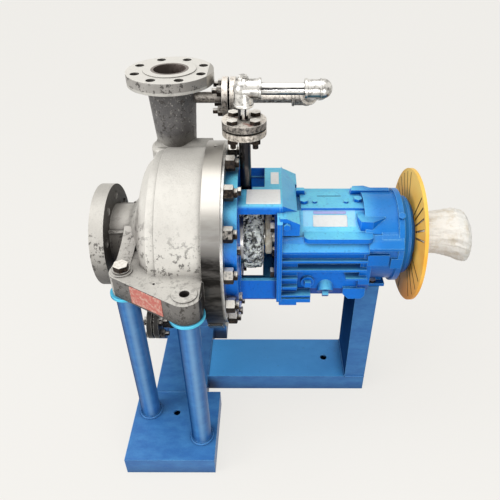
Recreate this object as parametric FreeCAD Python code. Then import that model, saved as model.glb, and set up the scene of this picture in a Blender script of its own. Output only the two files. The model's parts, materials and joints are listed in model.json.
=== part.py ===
import FreeCAD, Part
import math
import os
from FreeCAD import Vector

# A horizontal centrifugal process pump on its welded display stand.
# Units are millimetres. X runs along the shaft from the suction flange to the coupling,
# Y runs away from the near lug and Z is up. X = 0 is the joint of the casing and its cover,
# and Z = 0 is the floor. The pump is drawn about its shaft axis and lifted onto the stand at the end.

# Shaft line and fits
shaft_height = 514.0
running_gap = 0.30
fit_gap = 0.05
bolt_gap = 0.6

# Casing
drum_radius = 215.0
drum_end_x = -142.0
casing_wall = 18.0
ring_radius = 232.0
ring_width = 41.0
dome_tip_x = -240.0
dome_edge_radius = 209.0
dome_rise = ((0.184, 0.076), (0.367, 0.318), (0.510, 0.629), (0.633, 0.833), (0.796, 0.947))
neck_radius = 77.0
suction_tube_radius = 80.0
wear_ring_end_x = -118.0
spigot_radius = 186.0
spigot_depth = 22.0
gasket_thick = 3.0
gasket_width = 11.0

# Suction and discharge flanges
suction_face_x = -312.6
suction_flange_radius = 127.0
suction_flange_thick = 36.0
suction_bore_radius = 51.0
suction_circle = 200.1
suction_raised_radius = 78.5
discharge_x = -133.5
discharge_y = 172.0
discharge_height = 360.0
discharge_flange_radius = 105.0
discharge_flange_thick = 30.0
discharge_bore_radius = 39.0
discharge_circle = 168.3
discharge_raised_radius = 63.5
nozzle_top_radius = 60.5
nozzle_foot_radius = 44.5
throat_offset = 22.0
raised_face = 2.0
flange_hole_radius = 11.2
flange_hole_count = 8

# Casing joint fasteners
cover_rim_radius = 221.0
cover_rim_thick = 5.0
stud_circle_radius = 207.0
stud_count = 14
stud_first_angle = 4.3
stud_radius = 10.0
stud_depth = 30.0
stud_tip = 8.0
nut_flats = 32.0
nut_thick = 22.0

# Centreline lugs of the casing
lug_top_z = 34.0
lug_thick = 54.0
lug_pad_height = 3.0
lug_pad_radius = 27.0
lug_inner_x = -72.0
lug_inner_y = 271.0
lug_inner_radius = 36.0
lug_outer_x = -220.0
lug_outer_y = 192.0
lug_outer_radius = 28.0
lug_hole_radius = 11.0
lug_bolt_radius = 10.0

# Frame adapter, the open box lantern between the cover and the bearing frame
adapter_flange_radius = 185.0
adapter_flange_thick = 28.0
adapter_mouth_radius = 102.0
lantern_half = 95.0
lantern_half_height = 140.5
lantern_roof_thick = 22.5
lantern_side_wall = 10.0
lantern_far_wall = 7.0
lantern_floor_thick = 12.5
lantern_corner = 9.0
window_x1 = 122.0
window_sill_z = -74.0
top_opening_x1 = 93.0
top_opening_y0 = -8.0
riser_notch_y = -20.0
riser_notch_x1 = 64.5
floor_opening_x1 = 88.0
floor_opening_y1 = 60.0
adapter_end_x = 128.0
adapter_end_thick = 11.0
adapter_bolt_circle = 175.5
adapter_bolt_radius = 6.0
adapter_bolt_count = 8
frame_screw_circle = 98.0
frame_screw_radius = 8.0

# Bearing frame
frame_flange_half = 123.0
frame_flange_low = 133.0
frame_flange_thick = 6.0
frame_side = 108.0
frame_low_side = 96.0
frame_fin_reach = 120.0
frame_fin_thick = 6.0
frame_fin_pitch = 26.5
frame_fin_top_z = 31.5
frame_top_z = 93.5
frame_top_half = 38.0
frame_facet_y = 86.0
frame_facet_z = 64.0
frame_front_low = 124.0
frame_front_x1 = 172.0
frame_low_x1 = 206.0
frame_fin_x1 = 336.0
frame_body_x1 = 348.0
frame_sump_x1 = 322.0
frame_sump_z = 128.0
frame_barrel_radius = 110.0
frame_end_x = 418.0
frame_end_flange_radius = 116.0
frame_end_flange_thick = 13.0
saddle_end_x = 169.0
saddle_end_half = 67.0
saddle_end_z = 109.5
top_plate_x0 = 179.0
top_plate_x1 = 406.0
top_plate_thick = 7.0
top_plate_corner = 16.0
ear_height = 12.0
shelf_x0 = 184.0
shelf_x1 = 344.0
shelf_reach = 116.0
shelf_z = 65.0
shelf_thick = 12.0
ball_pitch_radius = 40.0
ball_radius = 9.5
balls_per_row = 8
race_depth = 15.0
bearing_radius = ball_pitch_radius + race_depth
bearing_bore_radius = ball_pitch_radius - race_depth
bearing_width = 27.0
radial_bearing_x = 140.0
thrust_bearing_x = 362.0
rear_foot_z = 111.6
foot_thick = 9.0
foot_bolt_radius = 5.0
foot_bolt_x = 366.0
foot_bolt_y = 62.0

# Rear bearing cover and guard disc
end_cover_x = 449.5
end_cover_steps = ((0.0, 110.0), (8.0, 101.0), (14.0, 97.0), (20.0, 97.0), (26.0, 92.0))
end_cover_radius = 84.0
cover_bolt_circle = 80.0
disc_radius = 165.0
disc_thick = 3.0
disc_bore_radius = 50.0
guard_screw_circle = 58.0
slit_inner_radius = 88.0
slit_rim = 9.0
slit_width = 3.2

# Shaft line parts
shaft_seat_radius = 16.0
sleeve_bore_radius = 22.0
sleeve_radius = 27.5
shaft_mid_radius = 30.0
coupling_seat_radius = 21.0
shaft_end_x = 590.0
impeller_radius = 150.0
impeller_eye_radius = 50.0
blade_count = 6
hub_x0 = 480.0
hub_radius = 40.0
hub_flange_radius = 46.0
hub_flange_x0 = 578.0

# Shaft seal
chamber_radius = 42.0
gland_radius = 76.0
gland_x0 = 28.0
gland_thick = 38.0
gland_stud_circle = 60.0
gland_stud_radius = 8.0
port_x = 49.0

# Seal flush line
pipe_radius = 13.35
pipe_bore_radius = 10.45
small_flange_radius = 49.2
small_flange_thick = 14.0
small_flange_circle = 34.9
small_bolt_radius = 6.5
small_gasket_thick = 5.0
back_pipe_z = discharge_height - 70.0
riser_flange_z = discharge_height - 72.0
front_pipe_z = discharge_height + 11.7
pair_a_x = 7.0
back_elbow_x = 196.0
front_elbow_x = 216.0
fitting_radius = 20.5
socket_reach = 20.0
tee_boss_height = 23.5

# Drain line under the casing
drain_x = -176.0
drain_z = -306.0
drain_flange_x = -222.0

# Stand
beam_height = 55.8
beam_wall = 6.0
pad_x0 = -262.0
pad_x1 = -34.0
pad_inner_y = 130.5
pad_outer_y = 343.0
cross_x0 = -218.0
cross_x1 = -75.0
beam_half_width = 73.7
post_x0 = 327.0
post_x1 = 384.0
anchor_x = -148.0
anchor_y = 200.0
anchor_radius = 9.0
beam_anchor_x = 271.0
beam_anchor_radius = 10.0
leg_radius = 25.0
leg_wall = 4.0
leg_cap_radius = 35.0
outer_cap_radius = 30.0
leg_cap_thick = 9.0


def rod(x0, x1, radius, y=0.0, z=0.0):
    return Part.makeCylinder(radius, x1 - x0, Vector(x0, y, z), Vector(1, 0, 0))


def ring(x0, x1, outer, inner):
    return rod(x0, x1, outer).cut(rod(x0 - 1, x1 + 1, inner))


def upright(z0, z1, radius, x=0.0, y=0.0):
    return Part.makeCylinder(radius, z1 - z0, Vector(x, y, z0), Vector(0, 0, 1))


def block(x0, x1, y0, y1, z0, z1):
    return Part.makeBox(x1 - x0, y1 - y0, z1 - z0, Vector(x0, y0, z0))


def joined(shapes):
    result = shapes[0]
    for shape in shapes[1:]:
        result = result.fuse(shape)
    return result.removeSplitter()


def turned(points):
    """Solid turned about the shaft axis from (x, radius) points."""
    corners = [Vector(x, 0, radius) for x, radius in points]
    wire = Part.makePolygon(corners + [corners[0]])
    return Part.Face(wire).revolve(Vector(0, 0, 0), Vector(1, 0, 0), 360)


def prism_x(points, x0, x1):
    """Solid from a (y, z) outline, drawn along X."""
    corners = [Vector(x0, y, z) for y, z in points]
    face = Part.Face(Part.makePolygon(corners + [corners[0]]))
    return face.extrude(Vector(x1 - x0, 0, 0))


def prism_y(points, y0, y1):
    """Solid from an (x, z) outline, drawn along Y."""
    corners = [Vector(x, y0, z) for x, z in points]
    face = Part.Face(Part.makePolygon(corners + [corners[0]]))
    return face.extrude(Vector(0, y1 - y0, 0))


def turn(shape, degrees):
    """The shape turned about the shaft axis, from the top towards the near side."""
    copy = shape.copy()
    copy.rotate(Vector(0, 0, 0), Vector(1, 0, 0), degrees)
    return copy


def far_side(shape):
    return shape.mirror(Vector(0, 0, 0), Vector(0, 1, 0))


def moved(shape, x=0.0, y=0.0, z=0.0):
    return shape.translated(Vector(x, y, z))


def hexagon(flats, thick, base, axis):
    """Hexagonal prism whose base centre is at base, along axis."""
    corner = flats / math.sqrt(3.0)
    points = []
    for k in range(7):
        angle = math.radians(60 * k + 30)
        points.append(Vector(corner * math.cos(angle), corner * math.sin(angle), 0))
    solid = Part.Face(Part.makePolygon(points)).extrude(Vector(0, 0, thick))
    solid.Placement = FreeCAD.Placement(base, FreeCAD.Rotation(Vector(0, 0, 1), axis))
    return solid


def nut(flats, thick, hole, base, axis):
    bore = Part.makeCylinder(hole, thick + 2, base - axis, axis)
    return hexagon(flats, thick, base, axis).cut(bore)


def bolt(flats, head, radius, length, seat, axis):
    """Hex bolt with its head above seat along axis and its shank below."""
    shank = Part.makeCylinder(radius, length, seat - axis * length, axis)
    return hexagon(flats, head, seat, axis).fuse(shank).removeSplitter()


def angles(count, first=0.0):
    return [first + 360.0 * k / count for k in range(count)]


def bored(shape, tools):
    for tool in tools:
        shape = shape.cut(tool)
    return shape


def pump_piece(name, shape):
    """Write one pump piece, lifted from the shaft axis to its height over the floor."""
    save(name, moved(shape, z=shaft_height))


def save(name, shape):
    shape.exportStep("parts/" + name + ".step")
    print(name, "solids", len(shape.Solids), "volume", round(shape.Volume))


# Casing

def dome_stations(inset):
    """Points of the shell from the neck to its edge: a flare that turns into a shoulder."""
    length = drum_end_x - dome_tip_x
    rise = dome_edge_radius - neck_radius
    stations = [(dome_tip_x, neck_radius)]
    stations += [(dome_tip_x + length * along, neck_radius + rise * up) for along, up in dome_rise]
    points = [Vector(x + 0.9 * inset, 0, radius - 0.45 * inset) for x, radius in stations]
    edge_radius = dome_edge_radius if inset == 0 else drum_radius - inset
    points.append(Vector(drum_end_x + inset, 0, edge_radius))
    return points


def shell_solid(inset, joint_x):
    """Shell and drum as one turned solid: the outside, or the room inside a wall of inset."""
    points = dome_stations(inset)
    along = Vector(1, 0, 0)
    flare = Part.BSplineCurve()
    flare.interpolate(Points=points, InitialTangent=along, FinalTangent=along)
    first = points[0]
    last = points[-1]
    corners = [last, Vector(last.x, 0, drum_radius - inset), Vector(joint_x, 0, drum_radius - inset),
               Vector(joint_x, 0, 0), Vector(first.x, 0, 0), first]
    if inset > 0:
        del corners[1]
    edges = [flare.toShape()]
    for start, end in zip(corners, corners[1:]):
        edges.append(Part.makeLine(start, end))
    return Part.Face(Part.Wire(edges)).revolve(Vector(0, 0, 0), along, 360)


def nozzle():
    """Tangential discharge nozzle with the throat that it grows from."""
    foot_z = 100.0
    top_z = discharge_height - discharge_flange_thick
    taper = Part.makeCone(nozzle_foot_radius, nozzle_top_radius, top_z - foot_z,
                          Vector(discharge_x, discharge_y, foot_z), Vector(0, 0, 1))
    throat_y = discharge_y - throat_offset
    throat_top = 180.0
    left = discharge_x - 18
    right = discharge_x + 26
    throat = joined([
        upright(40, throat_top, nozzle_foot_radius, left, throat_y),
        upright(40, throat_top, nozzle_foot_radius, right, throat_y),
        block(left, right, throat_y - nozzle_foot_radius, throat_y + nozzle_foot_radius, 40, throat_top),
    ])
    rims = [edge for edge in throat.Edges if edge.BoundBox.ZMin > throat_top - 0.1]
    throat = throat.makeFillet(12, rims)
    bulge = rod(left - 30, -ring_width, 40, throat_y, throat_y - 1)
    flange = upright(top_z, discharge_height - raised_face, discharge_flange_radius, discharge_x, discharge_y)
    face = upright(top_z, discharge_height, discharge_raised_radius, discharge_x, discharge_y)
    return joined([taper, throat, bulge, flange, face])


def nozzle_bore():
    straight_z = 200.0
    straight = upright(straight_z, discharge_height + 1, discharge_bore_radius, discharge_x, discharge_y)
    up = Vector(0, 0, 1)
    foot = Part.makeCircle(discharge_bore_radius - 7, Vector(discharge_x, discharge_y - throat_offset, 60), up)
    mouth = Part.makeCircle(discharge_bore_radius, Vector(discharge_x, discharge_y, straight_z), up)
    throat = Part.makeLoft([Part.Wire(foot), Part.Wire(mouth)], True, True)
    return straight.fuse(throat)


def discharge_holes():
    holes = []
    for angle in angles(flange_hole_count, 22.5):
        x = discharge_x + discharge_circle / 2 * math.cos(math.radians(angle))
        y = discharge_y + discharge_circle / 2 * math.sin(math.radians(angle))
        holes.append(upright(discharge_height - discharge_flange_thick - 1, discharge_height + 1,
                             flange_hole_radius, x, y))
    return holes


def suction_end():
    back_x = suction_face_x + suction_flange_thick
    flange = rod(suction_face_x + raised_face, back_x, suction_flange_radius)
    face = rod(suction_face_x, back_x, suction_raised_radius)
    neck = rod(back_x - 1, dome_tip_x + 20, neck_radius)
    rib = block(back_x - 1, dome_tip_x + 4, -3, 3, neck_radius - 3, neck_radius + 7)
    return joined([flange, face, neck, turn(rib, 52), turn(rib, -52)])


def suction_holes():
    hole = rod(suction_face_x - 1, suction_face_x + suction_flange_thick + 1, flange_hole_radius)
    hole = moved(hole, z=suction_circle / 2)
    return [turn(hole, angle) for angle in angles(flange_hole_count, 22.5)]


def lug_outline_hull(z0, z1):
    """Plan of one lug: a boss at each bolt, their common tangent and the root in the casing."""
    inner = Vector(lug_inner_x, -lug_inner_y, z0)
    outer = Vector(lug_outer_x, -lug_outer_y, z0)
    along = outer - inner
    tilt = math.asin((lug_inner_radius - lug_outer_radius) / along.Length)
    heading = math.atan2(along.y, along.x) - math.pi / 2 + math.pi - tilt
    side = Vector(math.cos(heading), math.sin(heading), 0)
    if side.y > 0:
        heading = math.atan2(along.y, along.x) - math.pi / 2 + tilt
        side = Vector(math.cos(heading), math.sin(heading), 0)
    root_y = -120.0
    corners = [
        inner + side * lug_inner_radius,
        outer + side * lug_outer_radius,
        Vector(lug_outer_x - lug_outer_radius, -lug_outer_y, z0),
        Vector(lug_outer_x - lug_outer_radius + 12, root_y, z0),
        Vector(lug_inner_x + lug_inner_radius - 6, root_y, z0),
        Vector(lug_inner_x + lug_inner_radius, -lug_inner_y, z0),
    ]
    plate = Part.Face(Part.makePolygon(corners + [corners[0]])).extrude(Vector(0, 0, z1 - z0))
    bosses = [
        upright(z0, z1, lug_inner_radius, lug_inner_x, -lug_inner_y),
        upright(z0, z1, lug_outer_radius, lug_outer_x, -lug_outer_y),
    ]
    return joined([plate] + bosses)


def lug():
    body = lug_outline_hull(lug_top_z - lug_thick, lug_top_z)
    pads = [
        upright(lug_top_z - 1, lug_top_z + lug_pad_height, lug_pad_radius, lug_inner_x, -lug_inner_y),
        upright(lug_top_z - 1, lug_top_z + lug_pad_height, lug_pad_radius - 3, lug_outer_x, -lug_outer_y),
    ]
    web = prism_x([(-55, 62), (-76, 52), (-100, 44), (-135, 38), (-186, lug_top_z - 1),
                   (-186, lug_top_z - lug_thick + 2), (-152, lug_top_z - lug_thick + 2), (-100, -45), (-55, -60)],
                  -240, -206)
    body = joined([body, web] + pads)
    return body


def lug_holes():
    z0 = lug_top_z - lug_thick - 1
    z1 = lug_top_z + lug_pad_height + 1
    return [
        upright(z0, z1, lug_hole_radius, lug_inner_x, -lug_inner_y),
        upright(z0, z1, lug_bolt_radius + bolt_gap, lug_outer_x, -lug_outer_y),
        upright(z1 - 20, z1, 3, -142, -236),
    ]


def casing_cavity():
    """Room for the impeller and the volute, with the suction tube standing in it."""
    chamber = shell_solid(casing_wall, -ring_width - 2)
    step_r = spigot_radius - gasket_width
    mouth = turned([(-ring_width - 3, 0), (-ring_width - 3, step_r), (-spigot_depth - gasket_thick, step_r),
                    (-spigot_depth - gasket_thick, spigot_radius + fit_gap), (1, spigot_radius + fit_gap), (1, 0)])
    tube = rod(dome_tip_x - 10, wear_ring_end_x, suction_tube_radius)
    return chamber.cut(tube).fuse(mouth)


def wear_ring_radii():
    inner = impeller_eye_radius + 10 + running_gap
    return inner, inner + 8


def stud_positions():
    return angles(stud_count, stud_first_angle)


def joint_ring_block():
    """Machined square foot of the joint ring at its low near side."""
    pad = block(-ring_width, -6, -22, 22, ring_radius - 14, ring_radius + 3)
    return turn(pad, 128)


def volute_casing():
    body = joined([shell_solid(0, -ring_width + 1), rod(-ring_width, 0, ring_radius), suction_end(), nozzle(),
                   lug(), far_side(lug()), joint_ring_block(), drain_boss()])
    wear_inner, wear_outer = wear_ring_radii()
    through = [
        casing_cavity(),
        rod(suction_face_x - 1, wear_ring_end_x - 20, suction_bore_radius),
        rod(wear_ring_end_x - 21, wear_ring_end_x + 1, wear_outer + fit_gap),
        nozzle_bore(),
        drain_bore(),
        flush_tap_hole(),
    ]
    stud_hole = moved(rod(-stud_depth - 2, 1, stud_radius + fit_gap), z=stud_circle_radius)
    eye_hole = upright(ring_radius - 16, ring_radius + 2, 4, -20, 0)
    through += [turn(stud_hole, angle) for angle in stud_positions()]
    through += discharge_holes() + suction_holes() + lug_holes()
    through += [far_side(hole) for hole in lug_holes()] + [turn(eye_hole, -5)]
    return bored(body, through)


def casing_wear_ring():
    inner, outer = wear_ring_radii()
    return ring(wear_ring_end_x - 20, wear_ring_end_x, outer, inner)


def casing_gasket():
    return ring(-spigot_depth - gasket_thick, -spigot_depth, spigot_radius - 1, spigot_radius - gasket_width + 1)


def casing_cover():
    """Stuffing box cover: rim on the joint, spigot in the casing and the seal chamber."""
    face_x = gland_x0
    body = turned([(-spigot_depth, 0), (-spigot_depth, spigot_radius), (0, spigot_radius), (0, cover_rim_radius),
                   (cover_rim_thick, cover_rim_radius), (cover_rim_thick, gland_radius + 6),
                   (face_x, gland_radius + 6), (face_x, 0)])
    holes = [rod(-spigot_depth - 1, -spigot_depth + 9, sleeve_radius + 6),
             rod(-spigot_depth + 8, face_x + 1, chamber_radius)]
    stud_hole = moved(rod(-1, cover_rim_thick + 1, stud_radius + bolt_gap), z=stud_circle_radius)
    holes += [turn(stud_hole, angle) for angle in stud_positions()]
    tapped = moved(rod(-12, cover_rim_thick + 1, adapter_bolt_radius + fit_gap), z=adapter_bolt_circle)
    holes += [turn(tapped, angle) for angle in adapter_bolt_angles()]
    gland_hole = moved(rod(2, face_x + 1, gland_stud_radius + fit_gap), z=gland_stud_circle)
    holes += [turn(gland_hole, angle) for angle in angles(4, 45)]
    return bored(body, holes)


def casing_studs():
    stud = moved(rod(-stud_depth, cover_rim_thick + nut_thick + stud_tip, stud_radius), z=stud_circle_radius)
    return Part.makeCompound([turn(stud, angle) for angle in stud_positions()])


def casing_nuts():
    base = Vector(cover_rim_thick, 0, stud_circle_radius)
    one = nut(nut_flats, nut_thick, stud_radius + fit_gap, base, Vector(1, 0, 0))
    return Part.makeCompound([turn(one, angle) for angle in stud_positions()])


# Frame adapter

def rounded_block(x0, x1, y0, y1, z0, z1, radius):
    """Block with its four long edges along X rounded."""
    body = block(x0, x1, y0, y1, z0, z1)
    return body.makeFillet(radius, [edge for edge in body.Edges if edge.BoundBox.XLength > x1 - x0 - 0.1])


def lantern_room():
    """Tools for the room in the lantern, its near window, roof opening and floor opening."""
    x0 = cover_rim_thick + adapter_flange_thick
    roof_z = lantern_half_height - lantern_roof_thick
    floor_z = lantern_floor_thick - lantern_half_height
    near_y = lantern_side_wall - lantern_half
    far_y = lantern_half - lantern_far_wall
    reach = lantern_half_height + 5
    room = rounded_block(x0, adapter_end_x - adapter_end_thick, near_y, far_y, floor_z, roof_z, lantern_corner)
    window = block(x0 + 3, window_x1, -lantern_half - 5, near_y + 1, window_sill_z, roof_z - 1)
    undercut = prism_x([(near_y - 5, roof_z - 2), (near_y - 5, roof_z), (-lantern_half - 1, roof_z + 1),
                        (-lantern_half - 1, roof_z - 2)], x0 + 3, window_x1)
    roof_gap = block(x0, top_opening_x1, top_opening_y0, far_y, roof_z - 1, reach)
    notch = block(x0, riser_notch_x1, riser_notch_y, top_opening_y0 + 1, roof_z - 1, reach)
    floor_gap = block(x0 + 2, floor_opening_x1, top_opening_y0, floor_opening_y1, -reach, floor_z + 1)
    return [room, window, undercut, roof_gap, notch, floor_gap]


def frame_adapter():
    flange_x0 = cover_rim_thick
    flange_x1 = flange_x0 + adapter_flange_thick
    wall_x0 = adapter_end_x - adapter_end_thick
    box = rounded_block(flange_x1 - 1, adapter_end_x, -lantern_half, lantern_half, -lantern_half_height,
                        lantern_half_height, lantern_corner)
    body = joined([rod(flange_x0, flange_x1, adapter_flange_radius), box, square_flange(window_x1, adapter_end_x)])
    mouth = rod(flange_x0 - 1, flange_x1 + 1, adapter_mouth_radius)
    rear = rod(wall_x0 - 1, adapter_end_x + 1, bearing_radius + 27)
    bolt_hole = moved(rod(flange_x0 - 1, flange_x1 + 1, adapter_bolt_radius + bolt_gap), z=adapter_bolt_circle)
    holes = [turn(bolt_hole, angle) for angle in adapter_bolt_angles()]
    screw_hole = moved(rod(wall_x0 - 1, adapter_end_x + 1, frame_screw_radius + bolt_gap), z=frame_screw_circle)
    holes += [turn(screw_hole, angle) for angle in angles(4, 45)]
    return bored(body, lantern_room() + [mouth, rear] + holes)


def adapter_bolt_angles():
    return angles(adapter_bolt_count, 22.5)


def square_flange(x0, x1):
    half = frame_flange_half
    low = -frame_flange_low
    corner = 14.0
    points = [(-half, low + corner), (-half + corner, low), (half - corner, low), (half, low + corner),
              (half, half - corner), (half - corner, half), (-half + corner, half), (-half, half - corner)]
    return prism_x(points, x0, x1)


def adapter_bolts():
    """Bolts of the adapter into the cover, and from inside the lantern into the bearing frame."""
    seat = Vector(cover_rim_thick + adapter_flange_thick, 0, adapter_bolt_circle)
    small = bolt(18, 8, adapter_bolt_radius, adapter_flange_thick + 12, seat, Vector(1, 0, 0))
    seat = Vector(adapter_end_x - adapter_end_thick, 0, frame_screw_circle)
    length = adapter_end_thick + frame_flange_thick + 5
    large = bolt(24, 10, frame_screw_radius, length, seat, Vector(-1, 0, 0))
    solids = [turn(small, angle) for angle in adapter_bolt_angles()]
    return Part.makeCompound(solids + [turn(large, angle) for angle in angles(4, 45)])


# Bearing frame

def frame_section(side, low):
    """Half-symmetric section of the frame: flat top, a facet, a shoulder, upright sides and the sump."""
    right = [(frame_top_half, frame_top_z), (frame_facet_y, frame_facet_z), (frame_side - 4, frame_facet_z - 10),
             (frame_side, frame_facet_z - 26), (frame_side, -8), (side, -22), (side, -low + 30), (side - 14, -low)]
    left = [(-y, z) for y, z in reversed(right)]
    return right + left


def frame_fin(level, x0, x1):
    z = frame_fin_top_z - frame_fin_pitch * level
    reach = frame_fin_reach
    return block(x0, x1, -reach, reach, z - frame_fin_thick, z)


def frame_flange_x():
    return adapter_end_x


def frame_fins():
    """Cast fins on both sides: long ones above, short ones below, and the flare over the first."""
    x0 = frame_flange_x()
    fins = [frame_fin(level, x0, frame_fin_x1) for level in range(3)]
    fins += [frame_fin(level, x0, frame_front_x1) for level in (3, 4)]
    fins += [frame_fin(5, x0, frame_low_x1), frame_fin(3, 288.0, frame_fin_x1 + 3)]
    z = frame_fin_top_z
    flare = prism_x([(-frame_side + 8, z + 30), (-frame_side, z + 15), (-frame_fin_reach, z), (-frame_side + 8, z - 6)],
                    x0, frame_fin_x1)
    rear_z = z + 9
    rear = prism_x([(-frame_side + 14, rear_z + 22), (-frame_side, rear_z + 12), (-frame_fin_reach, rear_z),
                    (-frame_fin_reach, rear_z - 7), (-frame_side + 14, rear_z - 7)], frame_fin_x1 - 1, frame_end_x - 2)
    return fins + [flare, far_side(flare), rear, far_side(rear)]


def frame_saddle():
    """Slope from the lantern roof down to the top of the frame."""
    x0 = frame_flange_x()
    x_body = x0 + frame_flange_thick
    foot = 60.0
    half = lantern_half
    start = [Vector(x_body, y, z) for y, z in ((-half, foot), (-half, lantern_half_height),
                                               (half, lantern_half_height), (half, foot))]
    end = [Vector(saddle_end_x, y, z) for y, z in ((-saddle_end_half, foot), (-saddle_end_half, saddle_end_z),
                                                   (saddle_end_half, saddle_end_z), (saddle_end_half, foot))]
    slope = Part.makeLoft([Part.makePolygon(start + [start[0]]), Part.makePolygon(end + [end[0]])], True, True)
    plate = rounded_block(x0, x_body, -half, half, foot, lantern_half_height, lantern_corner)
    return joined([slope, plate])


def frame_outer():
    x0 = frame_flange_x()
    x_body = x0 + frame_flange_thick
    side = frame_side
    reach = frame_fin_reach
    pieces = [
        square_flange(x0, x_body),
        frame_saddle(),
        prism_x(frame_section(side, frame_front_low), x0, frame_front_x1),
        prism_x(frame_section(frame_low_side, frame_front_low), frame_front_x1 - 1, frame_low_x1),
        prism_x(frame_section(frame_low_side, frame_sump_z), frame_low_x1 - 1, frame_sump_x1),
        prism_x(frame_section(side, frame_barrel_radius - 4), frame_sump_x1 - 1, frame_body_x1),
        rod(frame_body_x1 - 20, frame_end_x, frame_barrel_radius),
        rod(frame_end_x - frame_end_flange_thick, frame_end_x, frame_end_flange_radius),
        block(x0, frame_low_x1, -reach, reach, -frame_front_low, -frame_front_low + 12),
        block(x0, frame_front_x1, -reach, reach, -frame_flange_low, -frame_front_low + 1),
    ]
    pieces += [frame_top_pad(), frame_shelf(), far_side(frame_shelf()), rear_foot()]
    pieces += frame_fins() + frame_ears() + sump_bosses() + corner_blocks() + rear_lumps()
    return joined(pieces)


def frame_top_pad():
    """Raised plate on top, with its rear corners rounded."""
    z0 = frame_top_z - 6
    pad = block(top_plate_x0, top_plate_x1, -frame_top_half, frame_top_half, z0, frame_top_z + top_plate_thick)
    rear = [edge for edge in pad.Edges
            if edge.BoundBox.ZLength > top_plate_thick and edge.BoundBox.XMin > top_plate_x1 - 1]
    return pad.makeFillet(top_plate_corner, rear)


def frame_ears():
    """Two cast ears at the far edge of the top plate, the rear one long and sloped at its ends."""
    low = frame_top_z - 4
    top = frame_top_z + top_plate_thick + ear_height
    outlines = (((169.0, low), (169.0, top - 2), (172.0, top), (190.0, top), (194.0, low)),
                ((299.0, low), (304.0, top), (396.0, top), (413.0, top - 12), (413.0, low)))
    return [prism_y(outline, 24, frame_top_half) for outline in outlines]


def frame_shelf():
    """Ledge under the name panel, with its near left corner rounded."""
    ledge = block(shelf_x0, shelf_x1, -shelf_reach, -frame_facet_y + 16, shelf_z - shelf_thick, shelf_z)
    corner = [edge for edge in ledge.Edges
              if edge.BoundBox.ZLength > shelf_thick - 1 and edge.BoundBox.YMax < -shelf_reach + 1]
    return ledge.makeFillet(14, corner)


def sump_bosses():
    """Round plug bosses and a blunt lug low on the near side of the sump."""
    bosses = []
    for seat, axis, radius in sump_plug_seats():
        bosses.append(Part.makeCylinder(radius, 34, seat - axis * 34, axis))
    lug = prism_y([(287.0, -92.0), (342.0, -92.0), (342.0, -116.0), (334.0, -126.0), (302.0, -126.0),
                   (287.0, -110.0)], -104, -78)
    bosses.append(lug)
    return bosses


def sump_plug_seats():
    """Seat centre, outward axis and boss radius of the two sump plugs."""
    return [(Vector(198, -frame_low_side - 8, -72), Vector(0, -1, 0), 16.0),
            (Vector(243, -frame_low_side - 8, -101), Vector(0, -0.8, -0.6), 20.0)]


def corner_blocks():
    """Corner blocks behind the flange, level with the upper joint bolts, and the boss behind the name panel."""
    x0 = frame_flange_x()
    one = prism_y([(x0, 76.0), (x0, 122.0), (x0 + 14, 122.0), (x0 + 45, 107.0), (x0 + 45, 76.0)],
                  -frame_side - 10, -saddle_end_half + 6)
    outline = ((312.0, -30.0), (310.0, -62.0), (316.0, -83.0), (344.0, -85.0), (374.0, -66.0), (378.0, -30.0))
    corners = [Vector(x, y, 50) for x, y in outline]
    boss = Part.Face(Part.makePolygon(corners + [corners[0]])).extrude(Vector(0, 0, frame_top_z - 52))
    return [one, far_side(one), boss, far_side(boss)]


def rear_lumps():
    """Cast thickenings on the sides of the barrel, and the raised pad over them."""
    near = [block(frame_fin_x1 - 1, 385, -116, -80, -12, 19), block(390, frame_end_x - 2, -116, -80, -20, 8)]
    pad = prism_x([(-frame_top_half, frame_top_z + 3), (-frame_side + 4, 56), (-frame_side, 40), (-60, 40)], 366, 408)
    near.append(pad)
    return near + [far_side(lump) for lump in near]


def rear_foot():
    return joined([block(338, 396, -72, 72, -rear_foot_z, -rear_foot_z + foot_thick),
                   block(346, 390, -56, 56, -rear_foot_z, -88)])


def rear_foot_holes():
    """Bolt holes of the foot, each with the relief over its bolt head."""
    top = -rear_foot_z + foot_thick
    tools = []
    for x, y in foot_bolt_centres():
        tools.append(upright(-rear_foot_z - 1, top + 1, foot_bolt_radius + bolt_gap, x, y))
        tools.append(upright(top, top + 24, 11.5, x, y))
    return tools


def bearing_frame():
    body = frame_outer()
    radial_end = radial_bearing_x + bearing_width
    shoulder = bearing_radius - 7
    inside = turned([(frame_flange_x() - 1, 0), (frame_flange_x() - 1, bearing_radius + fit_gap),
                     (radial_end, bearing_radius + fit_gap), (radial_end, shoulder), (radial_end + 8, shoulder),
                     (radial_end + 8, 78), (thrust_bearing_x - 8, 78), (thrust_bearing_x - 8, shoulder),
                     (thrust_bearing_x, shoulder), (thrust_bearing_x, bearing_radius + fit_gap),
                     (frame_end_x + 1, bearing_radius + fit_gap), (frame_end_x + 1, 0)])
    slit = block(221, 279, 16, 19, frame_top_z - 2, frame_top_z + top_plate_thick + 1)
    screw_hole = moved(rod(frame_flange_x() - 1, frame_flange_x() + 14, frame_screw_radius + fit_gap),
                       z=frame_screw_circle)
    tapped = [turn(screw_hole, angle) for angle in angles(4, 45)]
    cover_hole = moved(rod(frame_end_x - 14, frame_end_x + 1, 5 + fit_gap), z=cover_bolt_circle)
    tapped += [turn(cover_hole, angle) for angle in rear_cover_angles()]
    front_hole = moved(rod(frame_flange_x() - 1, frame_flange_x() + 10, 4 + fit_gap), z=66)
    tapped += [turn(front_hole, angle) for angle in angles(4)]
    tapped += [hole for seat, axis, radius, depth in plug_places() for hole in
               [Part.makeCylinder(radius + fit_gap, depth + 1, seat - axis * depth, axis)]]
    return bored(body, [inside, slit] + tapped + rear_foot_holes())


def rear_cover_angles():
    return angles(6, 30)


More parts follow.
